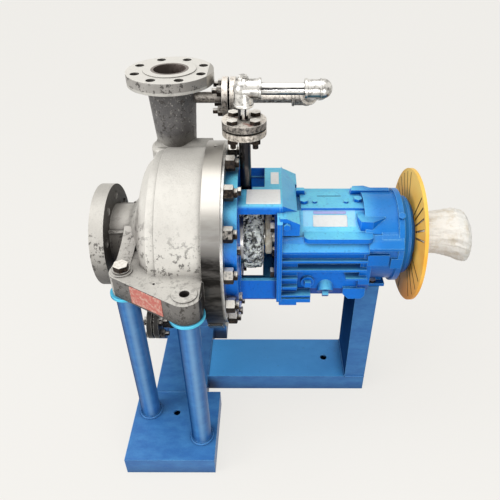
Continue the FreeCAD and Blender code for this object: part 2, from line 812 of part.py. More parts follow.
def plug_places():
    """Seat, outward axis, shank radius and depth of each plug and blanking bolt of the frame."""
    up = Vector(0, 0, 1)
    top = frame_top_z + top_plate_thick
    places = [(Vector(187, -12, top), up, 6.0, 12.0), (Vector(317, -4, top), up, 6.0, 12.0),
              (Vector(213, -12, top), up, 3.5, 8.0), (Vector(288, -12, top), up, 3.5, 8.0)]
    places += [(seat, axis, 6.0, 10.0) for seat, axis, _ in sump_plug_seats()]
    tilt = math.radians(35)
    side = Vector(0, -math.sin(tilt), math.cos(tilt))
    places.append((Vector(143.5, -frame_side - 10, 102), Vector(0, -1, 0), 5.0, 12.0))
    places.append((Vector(411, 0, 0) + side * frame_end_flange_radius, side, 5.0, 10.0))
    return places


def frame_plugs():
    solids = []
    for index, (seat, axis, radius, depth) in enumerate(plug_places()):
        square = index in (4, 5)
        if square:
            head = Part.makeBox(15, 15, 11, Vector(-7.5, -7.5, 0))
            head.Placement = FreeCAD.Placement(seat, FreeCAD.Rotation(Vector(0, 0, 1), axis))
            shank = Part.makeCylinder(radius, depth, seat - axis * depth, axis)
            solids.append(head.fuse(shank).removeSplitter())
        else:
            solids.append(bolt(radius * 3.0, radius * 1.3, radius, depth, seat, axis))
    return Part.makeCompound(solids)


# Bearing covers, bearings and guard disc

def front_bearing_cover():
    x0 = frame_flange_x()
    body = turned([(x0 - 10, sleeve_radius + running_gap), (x0 - 10, 76), (x0, 76), (x0, bearing_radius - 1),
                   (radial_bearing_x, bearing_radius - 1), (radial_bearing_x, bearing_radius - 8),
                   (x0 + 2, bearing_radius - 8), (x0 + 2, sleeve_radius + running_gap)])
    hole = moved(rod(x0 - 11, x0 + 1, 4 + bolt_gap), z=66)
    return bored(body, [turn(hole, angle) for angle in angles(4)])


def bearing_cover_bolts():
    seat = Vector(frame_flange_x() - 10, 0, 66)
    front = bolt(13, 5.5, 4, 18, seat, Vector(-1, 0, 0))
    seat = Vector(frame_end_x + 16, 0, cover_bolt_circle)
    rear = bolt(17, 6.4, 5, 28, seat, Vector(1, 0, 0))
    solids = [turn(front, angle) for angle in angles(4)]
    return Part.makeCompound(solids + [turn(rear, angle) for angle in rear_cover_angles()])


def rear_bearing_cover():
    x0 = frame_end_x
    seat = thrust_bearing_x + 2 * bearing_width
    outside = [(x0 + along, radius) for along, radius in end_cover_steps]
    body = turned([(x0, bearing_radius - 8), (seat, bearing_radius - 8), (seat, bearing_radius - 1),
                   (x0, bearing_radius - 1)] + outside +
                  [(end_cover_x, end_cover_radius), (end_cover_x, 24 + running_gap),
                   (end_cover_x - 12, 24 + running_gap), (end_cover_x - 12, bearing_radius - 8)])
    hole = moved(rod(x0 - 1, end_cover_x + 1, 5 + bolt_gap), z=cover_bolt_circle)
    pocket = moved(rod(x0 + 16, end_cover_x + 1, 10.5), z=cover_bolt_circle)
    holes = [turn(tool, angle) for angle in rear_cover_angles() for tool in (hole, pocket)]
    screw = moved(rod(end_cover_x - 12, end_cover_x + 1, 4 + fit_gap), z=guard_screw_circle)
    holes += [turn(screw, angle) for angle in angles(6)]
    return bored(body, holes)


def slit(angle):
    half = slit_width / 2
    cutter = block(end_cover_x - 1, end_cover_x + disc_thick + 1, -half, half, slit_inner_radius,
                   disc_radius - slit_rim)
    return turn(cutter, angle)


def slit_angles():
    """Groups of slits, as angles from the top towards the near side, with plain sectors between."""
    groups = ((-64.0, 5, 11.6), (24.0, 5, 9.5), (100.0, 4, 12.0), (172.0, 5, 12.0), (246.0, 3, 12.0))
    return [first + pitch * k for first, count, pitch in groups for k in range(count)]


def guard_disc():
    """Slotted end plate of the coupling guard: groups of radial slits and plain sectors."""
    plate = ring(end_cover_x, end_cover_x + disc_thick, disc_radius, disc_bore_radius)
    lip = ring(end_cover_x, end_cover_x + disc_thick + 5, disc_radius, disc_radius - 2.5)
    cuts = [slit(angle) for angle in slit_angles()]
    screw = moved(rod(end_cover_x - 1, end_cover_x + disc_thick + 1, 4 + bolt_gap), z=guard_screw_circle)
    cuts += [turn(screw, angle) for angle in angles(6)]
    return bored(joined([plate, lip]), cuts)


def guard_screws():
    seat = Vector(end_cover_x + disc_thick, 0, guard_screw_circle)
    one = bolt(13, 5.5, 4, 14, seat, Vector(1, 0, 0))
    return Part.makeCompound([turn(one, angle) for angle in angles(6)])


def groove(x, gap):
    """Ring-shaped race tool for one row of balls, centred at x."""
    return Part.makeTorus(ball_pitch_radius, ball_radius + gap, Vector(x, 0, 0), Vector(1, 0, 0))


def row_centres(x0, rows):
    return [x0 + bearing_width * (k + 0.5) for k in range(rows)]


def outer_race(x0, rows):
    body = ring(x0, x0 + bearing_width * rows, bearing_radius, ball_pitch_radius + 4.5)
    return bored(body, [groove(x, fit_gap) for x in row_centres(x0, rows)])


def inner_race(x0, rows):
    body = ring(x0, x0 + bearing_width * rows, ball_pitch_radius - 4.5, bearing_bore_radius)
    return bored(body, [groove(x, fit_gap) for x in row_centres(x0, rows)])


def ball_set(x0, rows, radius):
    balls = []
    for x in row_centres(x0, rows):
        for angle in angles(balls_per_row):
            centre = Vector(x, -ball_pitch_radius * math.sin(math.radians(angle)),
                            ball_pitch_radius * math.cos(math.radians(angle)))
            balls.append(Part.makeSphere(radius, centre))
    return balls


def cage(x0, rows):
    half = bearing_width / 2 - 1.0
    rings = []
    for x in row_centres(x0, rows):
        rings.append(ring(x - half, x + half, ball_pitch_radius + 2.2, ball_pitch_radius - 2.2))
    pockets = Part.makeCompound(ball_set(x0, rows, ball_radius + fit_gap))
    return Part.makeCompound([one.cut(pockets) for one in rings])


# Rotor

def shaft():
    x_thread = -128.0
    seats = [(x_thread, -112.0, 12.0), (-112.0, -38.0, shaft_seat_radius), (-38.0, 122.0, sleeve_bore_radius),
             (122.0, radial_bearing_x, bearing_bore_radius - 1),
             (radial_bearing_x, radial_bearing_x + bearing_width, bearing_bore_radius),
             (radial_bearing_x + bearing_width, thrust_bearing_x, shaft_mid_radius),
             (thrust_bearing_x, thrust_bearing_x + 2 * bearing_width, bearing_bore_radius),
             (thrust_bearing_x + 2 * bearing_width, 470.0, 24.0), (470.0, shaft_end_x, coupling_seat_radius)]
    points = [(seats[0][0], 0)]
    for x0, x1, radius in seats:
        points += [(x0, radius), (x1, radius)]
    points.append((seats[-1][1], 0))
    return bored(turned(points), [impeller_key_slot(), coupling_key_slot()])


def impeller_key_slot():
    return block(-100, -50, -4, 4, shaft_seat_radius - 4, shaft_seat_radius + 1)


def coupling_key_slot():
    return block(hub_x0 + 20, shaft_end_x - 15, -6, 6, coupling_seat_radius - 5, coupling_seat_radius + 1)


def shaft_keys():
    return Part.makeCompound([block(-100, -50, -4, 4, shaft_seat_radius - 4, shaft_seat_radius + 3),
                              block(hub_x0 + 20, shaft_end_x - 15, -6, 6, coupling_seat_radius - 5,
                                    coupling_seat_radius + 3)])


def impeller():
    """Closed impeller: back shroud with hub, swept blades and front shroud with its eye ring."""
    eye_out = impeller_eye_radius + 10
    back = turned([(-112, shaft_seat_radius), (-112, 24), (-84, 30), (-58, 60), (-50, impeller_radius),
                   (-44, impeller_radius), (-44, 34), (-38, 34), (-38, shaft_seat_radius)])
    front = turned([(-136, impeller_eye_radius), (-136, eye_out), (-108, eye_out), (-88, 76), (-72, impeller_radius),
                    (-67, impeller_radius), (-84, 70), (-104, impeller_eye_radius)])
    blades = [turn(blade(), angle) for angle in angles(blade_count)]
    body = joined([back, front] + blades)
    return body.cut(block(-101, -49, -4 - fit_gap, 4 + fit_gap, 0, shaft_seat_radius + 3))


def blade():
    """One backward-swept blade, a curved plate between the two shrouds."""
    outer_edge = []
    inner_edge = []
    for k in range(7):
        share = k / 6.0
        radius = 46 + (impeller_radius - 1 - 46) * share
        angle = math.radians(-70 * share)
        outer_edge.append(Vector(-118, radius * math.sin(angle), radius * math.cos(angle)))
        angle += math.radians(5.5 - 3.4 * share)
        inner_edge.append(Vector(-118, radius * math.sin(angle), radius * math.cos(angle)))
    first = Part.BSplineCurve()
    first.interpolate(outer_edge)
    second = Part.BSplineCurve()
    second.interpolate(inner_edge)
    wire = Part.Wire([first.toShape(), Part.makeLine(outer_edge[-1], inner_edge[-1]), second.toShape(),
                      Part.makeLine(inner_edge[0], outer_edge[0])])
    plate = Part.Face(wire).extrude(Vector(76, 0, 0))
    channel = turned([(-110, 30), (-106, impeller_eye_radius + 4), (-88, 73), (-70, impeller_radius),
                      (-47, impeller_radius), (-55, 60), (-80, 28)])
    return plate.common(channel)


def shaft_nuts():
    """Impeller nut and the round locknut of the thrust bearing."""
    x0 = thrust_bearing_x + 2 * bearing_width
    return Part.makeCompound([nut(32, 14, 12, Vector(-126, 0, 0), Vector(1, 0, 0)), ring(x0, x0 + 11, 36, 24)])


def shaft_sleeve():
    return ring(-38, 122, sleeve_radius, sleeve_bore_radius)


def seal_head():
    body = ring(-8, 24, chamber_radius - 5, sleeve_radius)
    nose = ring(23, 30, sleeve_radius + 7, sleeve_radius)
    return joined([body, nose])


def coupling_hub():
    end = shaft_end_x + 2
    body = joined([rod(hub_x0, end, hub_radius), rod(hub_flange_x0, end, hub_flange_radius)])
    key = block(hub_x0 + 19, shaft_end_x - 14, -6 - fit_gap, 6 + fit_gap, 0, coupling_seat_radius + 3)
    return bored(body, [rod(hub_x0 - 1, shaft_end_x, coupling_seat_radius), rod(shaft_end_x - 1, end + 1, 12), key])


# Shaft seal and soft wraps

def seal_gland():
    x1 = gland_x0 + gland_thick
    body = rod(gland_x0, x1, gland_radius)
    seat = rod(gland_x0 - 1, gland_x0 + 16, 36 + fit_gap)
    bore = rod(gland_x0, x1 + 1, sleeve_radius + 2)
    port = upright(0, gland_radius + 1, 5, port_x, 0)
    socket = upright(gland_radius - 12, gland_radius + 1, pipe_radius + fit_gap, port_x, 0)
    stud_hole = moved(rod(gland_x0 - 1, x1 + 1, gland_stud_radius + bolt_gap), z=gland_stud_circle)
    return bored(body, [seat, bore, port, socket] + [turn(stud_hole, angle) for angle in angles(4, 45)])


def seal_seat():
    return ring(30 + fit_gap, gland_x0 + 16, 36, sleeve_radius + 1.5)


def gland_studs():
    """Four studs of the gland, each with its nut."""
    end = gland_x0 + gland_thick
    stud = moved(rod(4, end + 20, gland_stud_radius), z=gland_stud_circle)
    base = Vector(end, 0, gland_stud_circle)
    one = nut(24, 13, gland_stud_radius + fit_gap, base, Vector(1, 0, 0))
    return Part.makeCompound([turn(shape, angle) for angle in angles(4, 45) for shape in (stud, one)])


def seal_film():
    """Protective film tied round the gland: a loose cup, open to the flush riser."""
    skirt = turned([(gland_x0 + 14, gland_radius + 0.3), (gland_x0 + 14, gland_radius + 6),
                    (66, gland_radius + 8), (88, gland_radius + 3), (92, 60), (92, sleeve_radius + 2),
                    (88.5, sleeve_radius + 2), (88.5, gland_radius + 0.3)])
    return skirt.cut(upright(40, 140, pipe_radius + 4, port_x, 0))


def shaft_foam():
    """Foam strip rolled round the sleeve beside the film."""
    return turned([(94, sleeve_radius + 0.3), (94, 44), (98, 50), (108, 50), (112, 44), (112, sleeve_radius + 0.3)])


def shaft_wrap():
    """Cloth bundle over the coupling hub: a bell that sags at its blunt end."""
    x0 = hub_x0 - 6
    stations = ((x0, 0.0, 43.0), (x0 + 20, 8.0, 50.5), (x0 + 34, 7.5, 50.5), (x0 + 88, 6.0, 59.0),
                (x0 + 111, -4.0, 61.0), (x0 + 124, -14.0, 55.0), (x0 + 132, -30.0, 38.0))
    rings = []
    for x, z, radius in stations:
        rings.append(Part.Wire(Part.makeCircle(radius, Vector(x, 0, z), Vector(1, 0, 0))))
    bell = Part.makeLoft(rings, True, True)
    clear = 0.3
    hub_end = shaft_end_x + 2 + clear
    return bored(bell, [rod(x0 - 1, hub_x0, 24 + clear), rod(hub_x0 - clear, hub_end, hub_radius + clear),
                        rod(hub_flange_x0 - clear, hub_end, hub_flange_radius + clear)])


# Flush line

def pipe_x(x0, x1, y, z):
    return rod(x0, x1, pipe_radius, y, z).cut(rod(x0 - 1, x1 + 1, pipe_bore_radius, y, z))


def pipe_z(z0, z1, x, y):
    return upright(z0, z1, pipe_radius, x, y).cut(upright(z0 - 1, z1 + 1, pipe_bore_radius, x, y))


def small_flange(base, axis, thick):
    """Small pipe flange bored for its pipe, with four bolt holes, standing on base along axis."""
    body = Part.makeCylinder(small_flange_radius, thick, Vector(0, 0, 0), Vector(0, 0, 1))
    tools = [Part.makeCylinder(pipe_radius, thick + 2, Vector(0, 0, -1), Vector(0, 0, 1))]
    for x, y in small_bolt_centres():
        tools.append(Part.makeCylinder(small_bolt_radius + bolt_gap, thick + 2, Vector(x, y, -1), Vector(0, 0, 1)))
    body = bored(body, tools)
    body.Placement = FreeCAD.Placement(base, FreeCAD.Rotation(Vector(0, 0, 1), axis))
    return body


def small_bolt_centres():
    centres = []
    for angle in angles(4, 45):
        centres.append((small_flange_circle * math.cos(math.radians(angle)),
                        small_flange_circle * math.sin(math.radians(angle))))
    return centres


def small_gasket(base, axis):
    body = Part.makeCylinder(small_flange_radius - 24, small_gasket_thick, Vector(0, 0, 0), Vector(0, 0, 1))
    body = body.cut(Part.makeCylinder(pipe_radius, small_gasket_thick + 2, Vector(0, 0, -1), Vector(0, 0, 1)))
    body.Placement = FreeCAD.Placement(base, FreeCAD.Rotation(Vector(0, 0, 1), axis))
    return body


def small_bolts(centre, axis):
    """Four bolts with nuts through a flange pair whose middle is at centre; heads face axis."""
    half = small_flange_thick + small_gasket_thick / 2
    turning = FreeCAD.Rotation(Vector(0, 0, 1), axis)
    shanks = []
    nuts = []
    for x, y in small_bolt_centres():
        foot = centre + turning.multVec(Vector(x, y, 0))
        shanks.append(bolt(22, 8, small_bolt_radius, 2 * half + 24, foot + axis * half, axis))
        nuts.append(nut(22, 12, small_bolt_radius + fit_gap, foot - axis * half, axis * -1))
    return shanks, nuts


def pair_a_centre():
    return Vector(pair_a_x, discharge_y, back_pipe_z)


def pair_b_centre():
    return Vector(port_x, 0, riser_flange_z)


def drain_centre():
    return Vector(drain_flange_x, 0, drain_z)


def flush_tap_hole():
    return rod(discharge_x + 20, discharge_x + 70, pipe_radius + fit_gap, discharge_y, back_pipe_z)


def flush_tap():
    """Stub from the nozzle with the first vertical flange."""
    x1 = pair_a_x - small_gasket_thick / 2
    stub = pipe_x(discharge_x + discharge_bore_radius + 5, x1, discharge_y, back_pipe_z)
    flange = small_flange(Vector(x1 - small_flange_thick, discharge_y, back_pipe_z), Vector(1, 0, 0),
                          small_flange_thick)
    return joined([stub, flange])


def flush_back_pipe():
    x0 = pair_a_x + small_gasket_thick / 2
    flange = small_flange(Vector(x0, discharge_y, back_pipe_z), Vector(1, 0, 0), small_flange_thick)
    return joined([flange, pipe_x(x0, back_elbow_x - socket_reach, discharge_y, back_pipe_z)])


def link_ends():
    start = Vector(back_elbow_x, discharge_y, back_pipe_z)
    end = Vector(front_elbow_x, 0, front_pipe_z)
    return start, end


def elbow(corner, toward, reach_x, reach_link):
    """Forged elbow: a ball at the corner, a collar on the X leg and one on the link leg."""
    heading = toward.sub(corner)
    heading.normalize()
    ball = Part.makeSphere(fitting_radius, corner)
    leg = Part.makeCylinder(fitting_radius - 1.5, reach_x, corner, Vector(-1, 0, 0))
    arm = Part.makeCylinder(fitting_radius - 1.5, reach_link, corner, heading)
    body = joined([ball, leg, arm])
    sockets = [Part.makeCylinder(pipe_radius, 30, corner + Vector(-socket_reach, 0, 0), Vector(-1, 0, 0)),
               Part.makeCylinder(pipe_radius, 30, corner + heading * socket_reach, heading)]
    return bored(body, sockets)


def flush_elbows():
    start, end = link_ends()
    return Part.makeCompound([elbow(start, end, 36, 34), elbow(end, start, 38, 34)])


def flush_link():
    start, end = link_ends()
    heading = end.sub(start)
    length = heading.Length - 2 * socket_reach
    heading.normalize()
    base = start + heading * socket_reach
    bar = Part.makeCylinder(pipe_radius, length, base, heading)
    return bar.cut(Part.makeCylinder(pipe_bore_radius, length + 2, base - heading, heading))


def flush_front_pipe():
    return pipe_x(port_x + socket_reach, front_elbow_x - socket_reach, 0, front_pipe_z)


def flush_tee():
    """Elbow body with a collar on each leg and a plug boss on top."""
    corner = Vector(port_x, 0, front_pipe_z)
    pieces = [Part.makeSphere(fitting_radius + 1.0, corner),
              Part.makeCylinder(fitting_radius, 38, corner, Vector(1, 0, 0)),
              Part.makeCylinder(fitting_radius, 36, corner, Vector(0, 0, -1)),
              Part.makeCylinder(12, tee_boss_height, corner, Vector(0, 0, 1))]
    sockets = [Part.makeCylinder(pipe_radius, 30, corner + Vector(socket_reach, 0, 0), Vector(1, 0, 0)),
               Part.makeCylinder(pipe_radius, 30, corner + Vector(0, 0, -socket_reach), Vector(0, 0, -1))]
    return bored(joined(pieces), sockets)


def tee_plug():
    return hexagon(17, 5, Vector(port_x, 0, front_pipe_z + tee_boss_height), Vector(0, 0, 1))


def flush_drop():
    """Drop pipe from the tee with the upper horizontal flange."""
    z0 = riser_flange_z + small_gasket_thick / 2
    flange = small_flange(Vector(port_x, 0, z0), Vector(0, 0, 1), small_flange_thick)
    return joined([flange, pipe_z(z0, front_pipe_z - socket_reach, port_x, 0)])


def gland_riser():
    """Lower horizontal flange with the pipe down to the gland."""
    z1 = riser_flange_z - small_gasket_thick / 2
    flange = small_flange(Vector(port_x, 0, z1 - small_flange_thick), Vector(0, 0, 1), small_flange_thick)
    return joined([flange, pipe_z(gland_radius - 12, z1, port_x, 0)])


def pipe_gaskets():
    half = small_gasket_thick / 2
    return Part.makeCompound([small_gasket(pair_a_centre() - Vector(half, 0, 0), Vector(1, 0, 0)),
                              small_gasket(pair_b_centre() - Vector(0, 0, half), Vector(0, 0, 1)),
                              small_gasket(drain_centre() - Vector(half, 0, 0), Vector(1, 0, 0))])


# Drain line

def drain_boss():
    return upright(-drum_radius - 22, -drum_radius + 30, 20, drain_x, 0)


def drain_bore():
    return upright(-drum_radius - 23, -drum_radius + 40, pipe_radius + fit_gap, drain_x, 0)


def drain_pipe():
    """Pipe down from the casing, elbow and the first drain flange."""
    down = upright(drain_z, -drum_radius + 6, pipe_radius, drain_x, 0)
    ball = Part.makeSphere(fitting_radius, Vector(drain_x, 0, drain_z))
    x1 = drain_flange_x + small_gasket_thick / 2
    along = rod(x1, drain_x, pipe_radius, 0, drain_z)
    collars = [rod(drain_x - 24, drain_x, fitting_radius - 1.5, 0, drain_z),
               upright(drain_z, drain_z + 26, fitting_radius - 1.5, drain_x, 0)]
    flange = small_flange(Vector(x1, 0, drain_z), Vector(1, 0, 0), small_flange_thick)
    body = joined([down, ball, along, flange] + collars)
    return bored(body, [upright(drain_z, -drum_radius + 7, pipe_bore_radius, drain_x, 0),
                        rod(x1 - 1, drain_x, pipe_bore_radius, 0, drain_z)])


def drain_blind():
    x1 = drain_flange_x - small_gasket_thick / 2
    face = Vector(x1 - small_flange_thick, 0, drain_z)
    plug = rod(x1 - small_flange_thick, x1, pipe_radius + 1, 0, drain_z)
    return joined([small_flange(face, Vector(1, 0, 0), small_flange_thick), plug])


# Stand

def hollow_beam(x0, x1, y0, y1, top=beam_height):
    outer = block(x0, x1, y0, y1, 0, top)
    inner = block(x0 + beam_wall, x1 - beam_wall, y0 + beam_wall, y1 - beam_wall, beam_wall, top - beam_wall)
    return outer.cut(inner)


def stand_pad():
    body = hollow_beam(pad_x0, pad_x1, -pad_outer_y, -pad_inner_y)
    return body.cut(upright(-1, beam_height + 1, anchor_radius, anchor_x, -anchor_y))


def cross_beam():
    return hollow_beam(cross_x0, cross_x1, -pad_inner_y, pad_inner_y)


def long_beam():
    body = hollow_beam(cross_x1, post_x1, -beam_half_width, beam_half_width)
    return body.cut(upright(-1, beam_height + 1, beam_anchor_radius, beam_anchor_x, 0))


def rear_post():
    top = shaft_height - rear_foot_z
    outer = block(post_x0, post_x1, -beam_half_width, beam_half_width, beam_height, top)
    inner = block(post_x0 + beam_wall, post_x1 - beam_wall, -beam_half_width + beam_wall,
                  beam_half_width - beam_wall, beam_height + beam_wall, top - beam_wall)
    holes = [upright(top - beam_wall - 1, top + 1, foot_bolt_radius + fit_gap, x, y) for x, y in foot_bolt_centres()]
    return bored(outer.cut(inner), holes)


def foot_bolt_centres():
    return [(foot_bolt_x, -foot_bolt_y), (foot_bolt_x, foot_bolt_y)]


def leg_centres():
    """Lug corner name, plan centre and cap radius of each of the four legs."""
    return [("near_inner", lug_inner_x, -lug_inner_y, leg_cap_radius),
            ("near_outer", lug_outer_x, -lug_outer_y, outer_cap_radius),
            ("far_inner", lug_inner_x, lug_inner_y, leg_cap_radius),
            ("far_outer", lug_outer_x, lug_outer_y, outer_cap_radius)]


def leg_top_z():
    return shaft_height + lug_top_z - lug_thick - leg_cap_thick


def leg(x, y, cap_radius):
    """Tube with its foot weld and the bearing disc welded on top."""
    top = leg_top_z()
    tube = upright(beam_height, top, leg_radius, x, y)
    weld = Part.makeCone(leg_radius + 4, leg_radius, 5, Vector(x, y, beam_height), Vector(0, 0, 1))
    disc = upright(top, top + leg_cap_thick, cap_radius, x, y)
    bore = upright(beam_height - 1, top, leg_radius - leg_wall, x, y)
    bolt_hole = upright(top - 1, top + leg_cap_thick + 1, lug_bolt_radius + fit_gap, x, y)
    return bored(joined([tube, weld, disc]), [bore, bolt_hole])


def mounting_bolts():
    """Bolts of the bearing frame's foot, and those of the outer lug corners with their washers."""
    seat_z = shaft_height - rear_foot_z + foot_thick
    up = Vector(0, 0, 1)
    solids = []
    for x, y in foot_bolt_centres():
        solids.append(bolt(17, 6.4, foot_bolt_radius, foot_thick + beam_wall, Vector(x, y, seat_z), up))
    top = shaft_height + lug_top_z + lug_pad_height
    for side in (-1, 1):
        y = side * lug_outer_y
        washer = upright(top, top + 3, 19, lug_outer_x, y)
        washer = washer.cut(upright(top - 1, top + 4, lug_bolt_radius + fit_gap, lug_outer_x, y))
        length = lug_thick + lug_pad_height + leg_cap_thick + 3
        solids.append(washer)
        solids.append(bolt(30, 13, lug_bolt_radius, length, Vector(lug_outer_x, y, top + 3), up))
    return Part.makeCompound(solids)


def write_casing_pieces():
    pump_piece("volute_casing", volute_casing())
    pump_piece("casing_wear_ring", casing_wear_ring())
    pump_piece("casing_gasket", casing_gasket())
    pump_piece("casing_cover", casing_cover())
    pump_piece("casing_studs", casing_studs())
    pump_piece("casing_nuts", casing_nuts())


def write_frame_pieces():
    pump_piece("frame_adapter", frame_adapter())
    pump_piece("adapter_bolts", adapter_bolts())
    pump_piece("bearing_frame", bearing_frame())
    pump_piece("frame_plugs", frame_plugs())
    pump_piece("front_bearing_cover", front_bearing_cover())
    pump_piece("rear_bearing_cover", rear_bearing_cover())
    pump_piece("bearing_cover_bolts", bearing_cover_bolts())
    pump_piece("guard_disc", guard_disc())
    pump_piece("guard_screws", guard_screws())


def write_bearing_pieces():
    for name, x0, rows in (("radial", radial_bearing_x, 1), ("thrust", thrust_bearing_x, 2)):
        pump_piece(name + "_outer_race", outer_race(x0, rows))
        pump_piece(name + "_inner_race", inner_race(x0, rows))
        pump_piece(name + "_cage", cage(x0, rows))
        pump_piece(name + "_balls", Part.makeCompound(ball_set(x0, rows, ball_radius)))


def write_rotor_pieces():
    pump_piece("shaft", shaft())
    pump_piece("impeller", impeller())
    pump_piece("shaft_keys", shaft_keys())
    pump_piece("shaft_nuts", shaft_nuts())
    pump_piece("shaft_sleeve", shaft_sleeve())
    pump_piece("seal_head", seal_head())
    pump_piece("coupling_hub", coupling_hub())
    pump_piece("shaft_foam", shaft_foam())
    pump_piece("shaft_wrap", shaft_wrap())


def write_seal_pieces():
    pump_piece("seal_gland", seal_gland())
    pump_piece("seal_seat", seal_seat())
    pump_piece("gland_studs", gland_studs())
    pump_piece("seal_film", seal_film())


def write_flush_pieces():
    pump_piece("flush_tap", flush_tap())
    pump_piece("flush_back_pipe", flush_back_pipe())
    pump_piece("flush_elbows", flush_elbows())
    pump_piece("flush_link", flush_link())
    pump_piece("flush_front_pipe", flush_front_pipe())
    pump_piece("flush_tee", joined([flush_tee(), tee_plug()]))
    pump_piece("flush_drop", flush_drop())
    pump_piece("gland_riser", gland_riser())
    pump_piece("pipe_gaskets", pipe_gaskets())
    sets = [small_bolts(pair_a_centre(), Vector(1, 0, 0)), small_bolts(pair_b_centre(), Vector(0, 0, 1)),
            small_bolts(drain_centre(), Vector(-1, 0, 0))]
    pump_piece("pipe_bolts", Part.makeCompound([one for shanks, _ in sets for one in shanks]))
    pump_piece("pipe_nuts", Part.makeCompound([one for _, nuts in sets for one in nuts]))
    pump_piece("drain_pipe", drain_pipe())
    pump_piece("drain_blind", drain_blind())


def write_stand_pieces():
    save("near_pad", stand_pad())
    save("far_pad", far_side(stand_pad()))
    save("cross_beam", cross_beam())
    save("long_beam", long_beam())
    save("rear_post", rear_post())
    save("mounting_bolts", mounting_bolts())
    for name, x, y, cap_radius in leg_centres():
        save("leg_" + name, leg(x, y, cap_radius))


os.makedirs("parts", exist_ok=True)
write_casing_pieces()
write_frame_pieces()
write_bearing_pieces()
write_rotor_pieces()
write_seal_pieces()
write_flush_pieces()
write_stand_pieces()
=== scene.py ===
# %% [markdown]
# A process pump, dressed over its frame
#
# The frame holds every hard piece of the pump at its real size. This lesson gives those pieces
# their finishes and adds what only a modeller can: wrapped cloth, film, foam, plates and threads.
# All lengths are metres, X runs along the shaft and Z is up from the floor.

# %% Load the frame
import json
import bmesh
import bpy
from functools import partial
from math import copysign, cos, dist, hypot, pi, radians, sin
from mathutils import Matrix, Vector, noise


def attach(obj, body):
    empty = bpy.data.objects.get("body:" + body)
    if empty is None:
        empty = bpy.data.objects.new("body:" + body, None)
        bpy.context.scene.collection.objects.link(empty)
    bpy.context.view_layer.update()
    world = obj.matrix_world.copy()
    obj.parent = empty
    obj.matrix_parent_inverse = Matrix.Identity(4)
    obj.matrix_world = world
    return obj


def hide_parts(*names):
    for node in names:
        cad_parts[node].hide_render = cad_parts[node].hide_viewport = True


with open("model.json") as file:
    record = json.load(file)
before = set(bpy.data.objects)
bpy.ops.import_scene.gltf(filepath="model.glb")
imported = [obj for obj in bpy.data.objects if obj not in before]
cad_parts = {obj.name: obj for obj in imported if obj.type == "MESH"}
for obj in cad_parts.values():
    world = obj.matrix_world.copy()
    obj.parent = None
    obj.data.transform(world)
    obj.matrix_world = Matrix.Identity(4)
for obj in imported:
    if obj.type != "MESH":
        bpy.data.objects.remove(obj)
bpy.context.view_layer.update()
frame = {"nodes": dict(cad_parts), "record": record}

nodes = frame["nodes"]
shaft_height = 0.514
print("nodes:", len(nodes))

# %% [markdown]
# The camera
#
# A camera can be placed by eye, or fitted to the flanges and the stand, whose sizes are known.
# It was fitted here: it looks down by 36.6 degrees from a little over a metre in front of the near
# side. The frame of the photograph was cropped, so the lens is shifted a little sideways.

# %% Camera
camera_place = Vector((0.1000, -1.0747, 1.2603))
camera_tilt = radians(36.56)
camera_turn = radians(0.274)
camera_roll = radians(-0.144)
focal_pixels = 516.76
image_pixels = 500.0
sensor_width = 36.0
centre_pixel = 265.45


def new_object(name, data):
    thing = bpy.data.objects.new(name, data)
    bpy.context.scene.collection.objects.link(thing)
    return thing


camera_data = bpy.data.cameras.new("view_camera")
camera_data.sensor_width = sensor_width
camera_data.lens = focal_pixels / image_pixels * sensor_width
camera_data.shift_x = (image_pixels / 2 - centre_pixel) / image_pixels
camera_data.clip_start = 0.05
camera = new_object("view_camera", camera_data)
look = Matrix.Rotation(camera_turn, 4, "Z") @ Matrix.Rotation(pi / 2 - camera_tilt, 4, "X")
camera.matrix_world = Matrix.Translation(camera_place) @ look @ Matrix.Rotation(camera_roll, 4, "Z")
bpy.context.scene.camera = camera
print("lens", round(camera_data.lens, 2), "mm")

# %% [markdown]
# Sums of sockets
#
# Every finish and light here is a tree of small nodes. These helpers add a node, link it and do
# sums on what comes out of it, so that the rest can be written like plain arithmetic.

# %% Node sums
def link(source, target):
    source.id_data.links.new(source, target)


def feed(socket, value):
    """Link what comes from a node, or set a plain number or colour."""
    if hasattr(value, "id_data"):
        link(value, socket)
    else:
        socket.default_value = value + (1.0,) if isinstance(value, tuple) else value


def add_node(tree, kind, **values):
    node = tree.nodes.new("ShaderNode" + kind)
    for name, value in values.items():
        if name in node.inputs:
            node.inputs[name].default_value = value
        else:
            setattr(node, name, value)
    return node


def tree_of(*values):
    """The node tree that owns the first socket among the values."""
    return next(value.id_data for value in values if hasattr(value, "id_data"))


def math_of(operation, first, second=0.0):
    node = add_node(tree_of(first, second), "Math", operation=operation)
    feed(node.inputs[0], first)
    feed(node.inputs[1], second)
    return node.outputs[0]


def largest(first, *others):
    for other in others:
        first = math_of("MAXIMUM", first, other)
    return first


times, plus, minus = (partial(math_of, kind) for kind in ("MULTIPLY", "ADD", "SUBTRACT"))
print("sums of sockets ready")

# %% [markdown]
# Floor and world
#
# The floor is a plain sheet. It shows as pale paper to the camera and to glossy metal, keeps the
# soft shadow under the stand, and throws little light back up. A dim world fills the shade. A
# real backdrop curves up behind the object, but two tones that nearly match look the same.

# %% Floor and world
paper_white = (0.935, 0.92, 0.885, 1.0)
backdrop_white = (0.885, 0.872, 0.840, 1.0)
floor_grey = (0.62, 0.60, 0.57, 1.0)
bounce_grey = (0.20, 0.20, 0.20, 1.0)
paper_share = 0.80
room_white, room_strength = (1.0, 0.99, 0.97, 1.0), 0.34


def seen_directly(tree):
    """1 for rays from the camera, a mirror or a window, 0 for light that only bounces."""
    rays = add_node(tree, "LightPath").outputs
    return largest(rays["Is Camera Ray"], rays["Is Glossy Ray"], rays["Is Transmission Ray"])


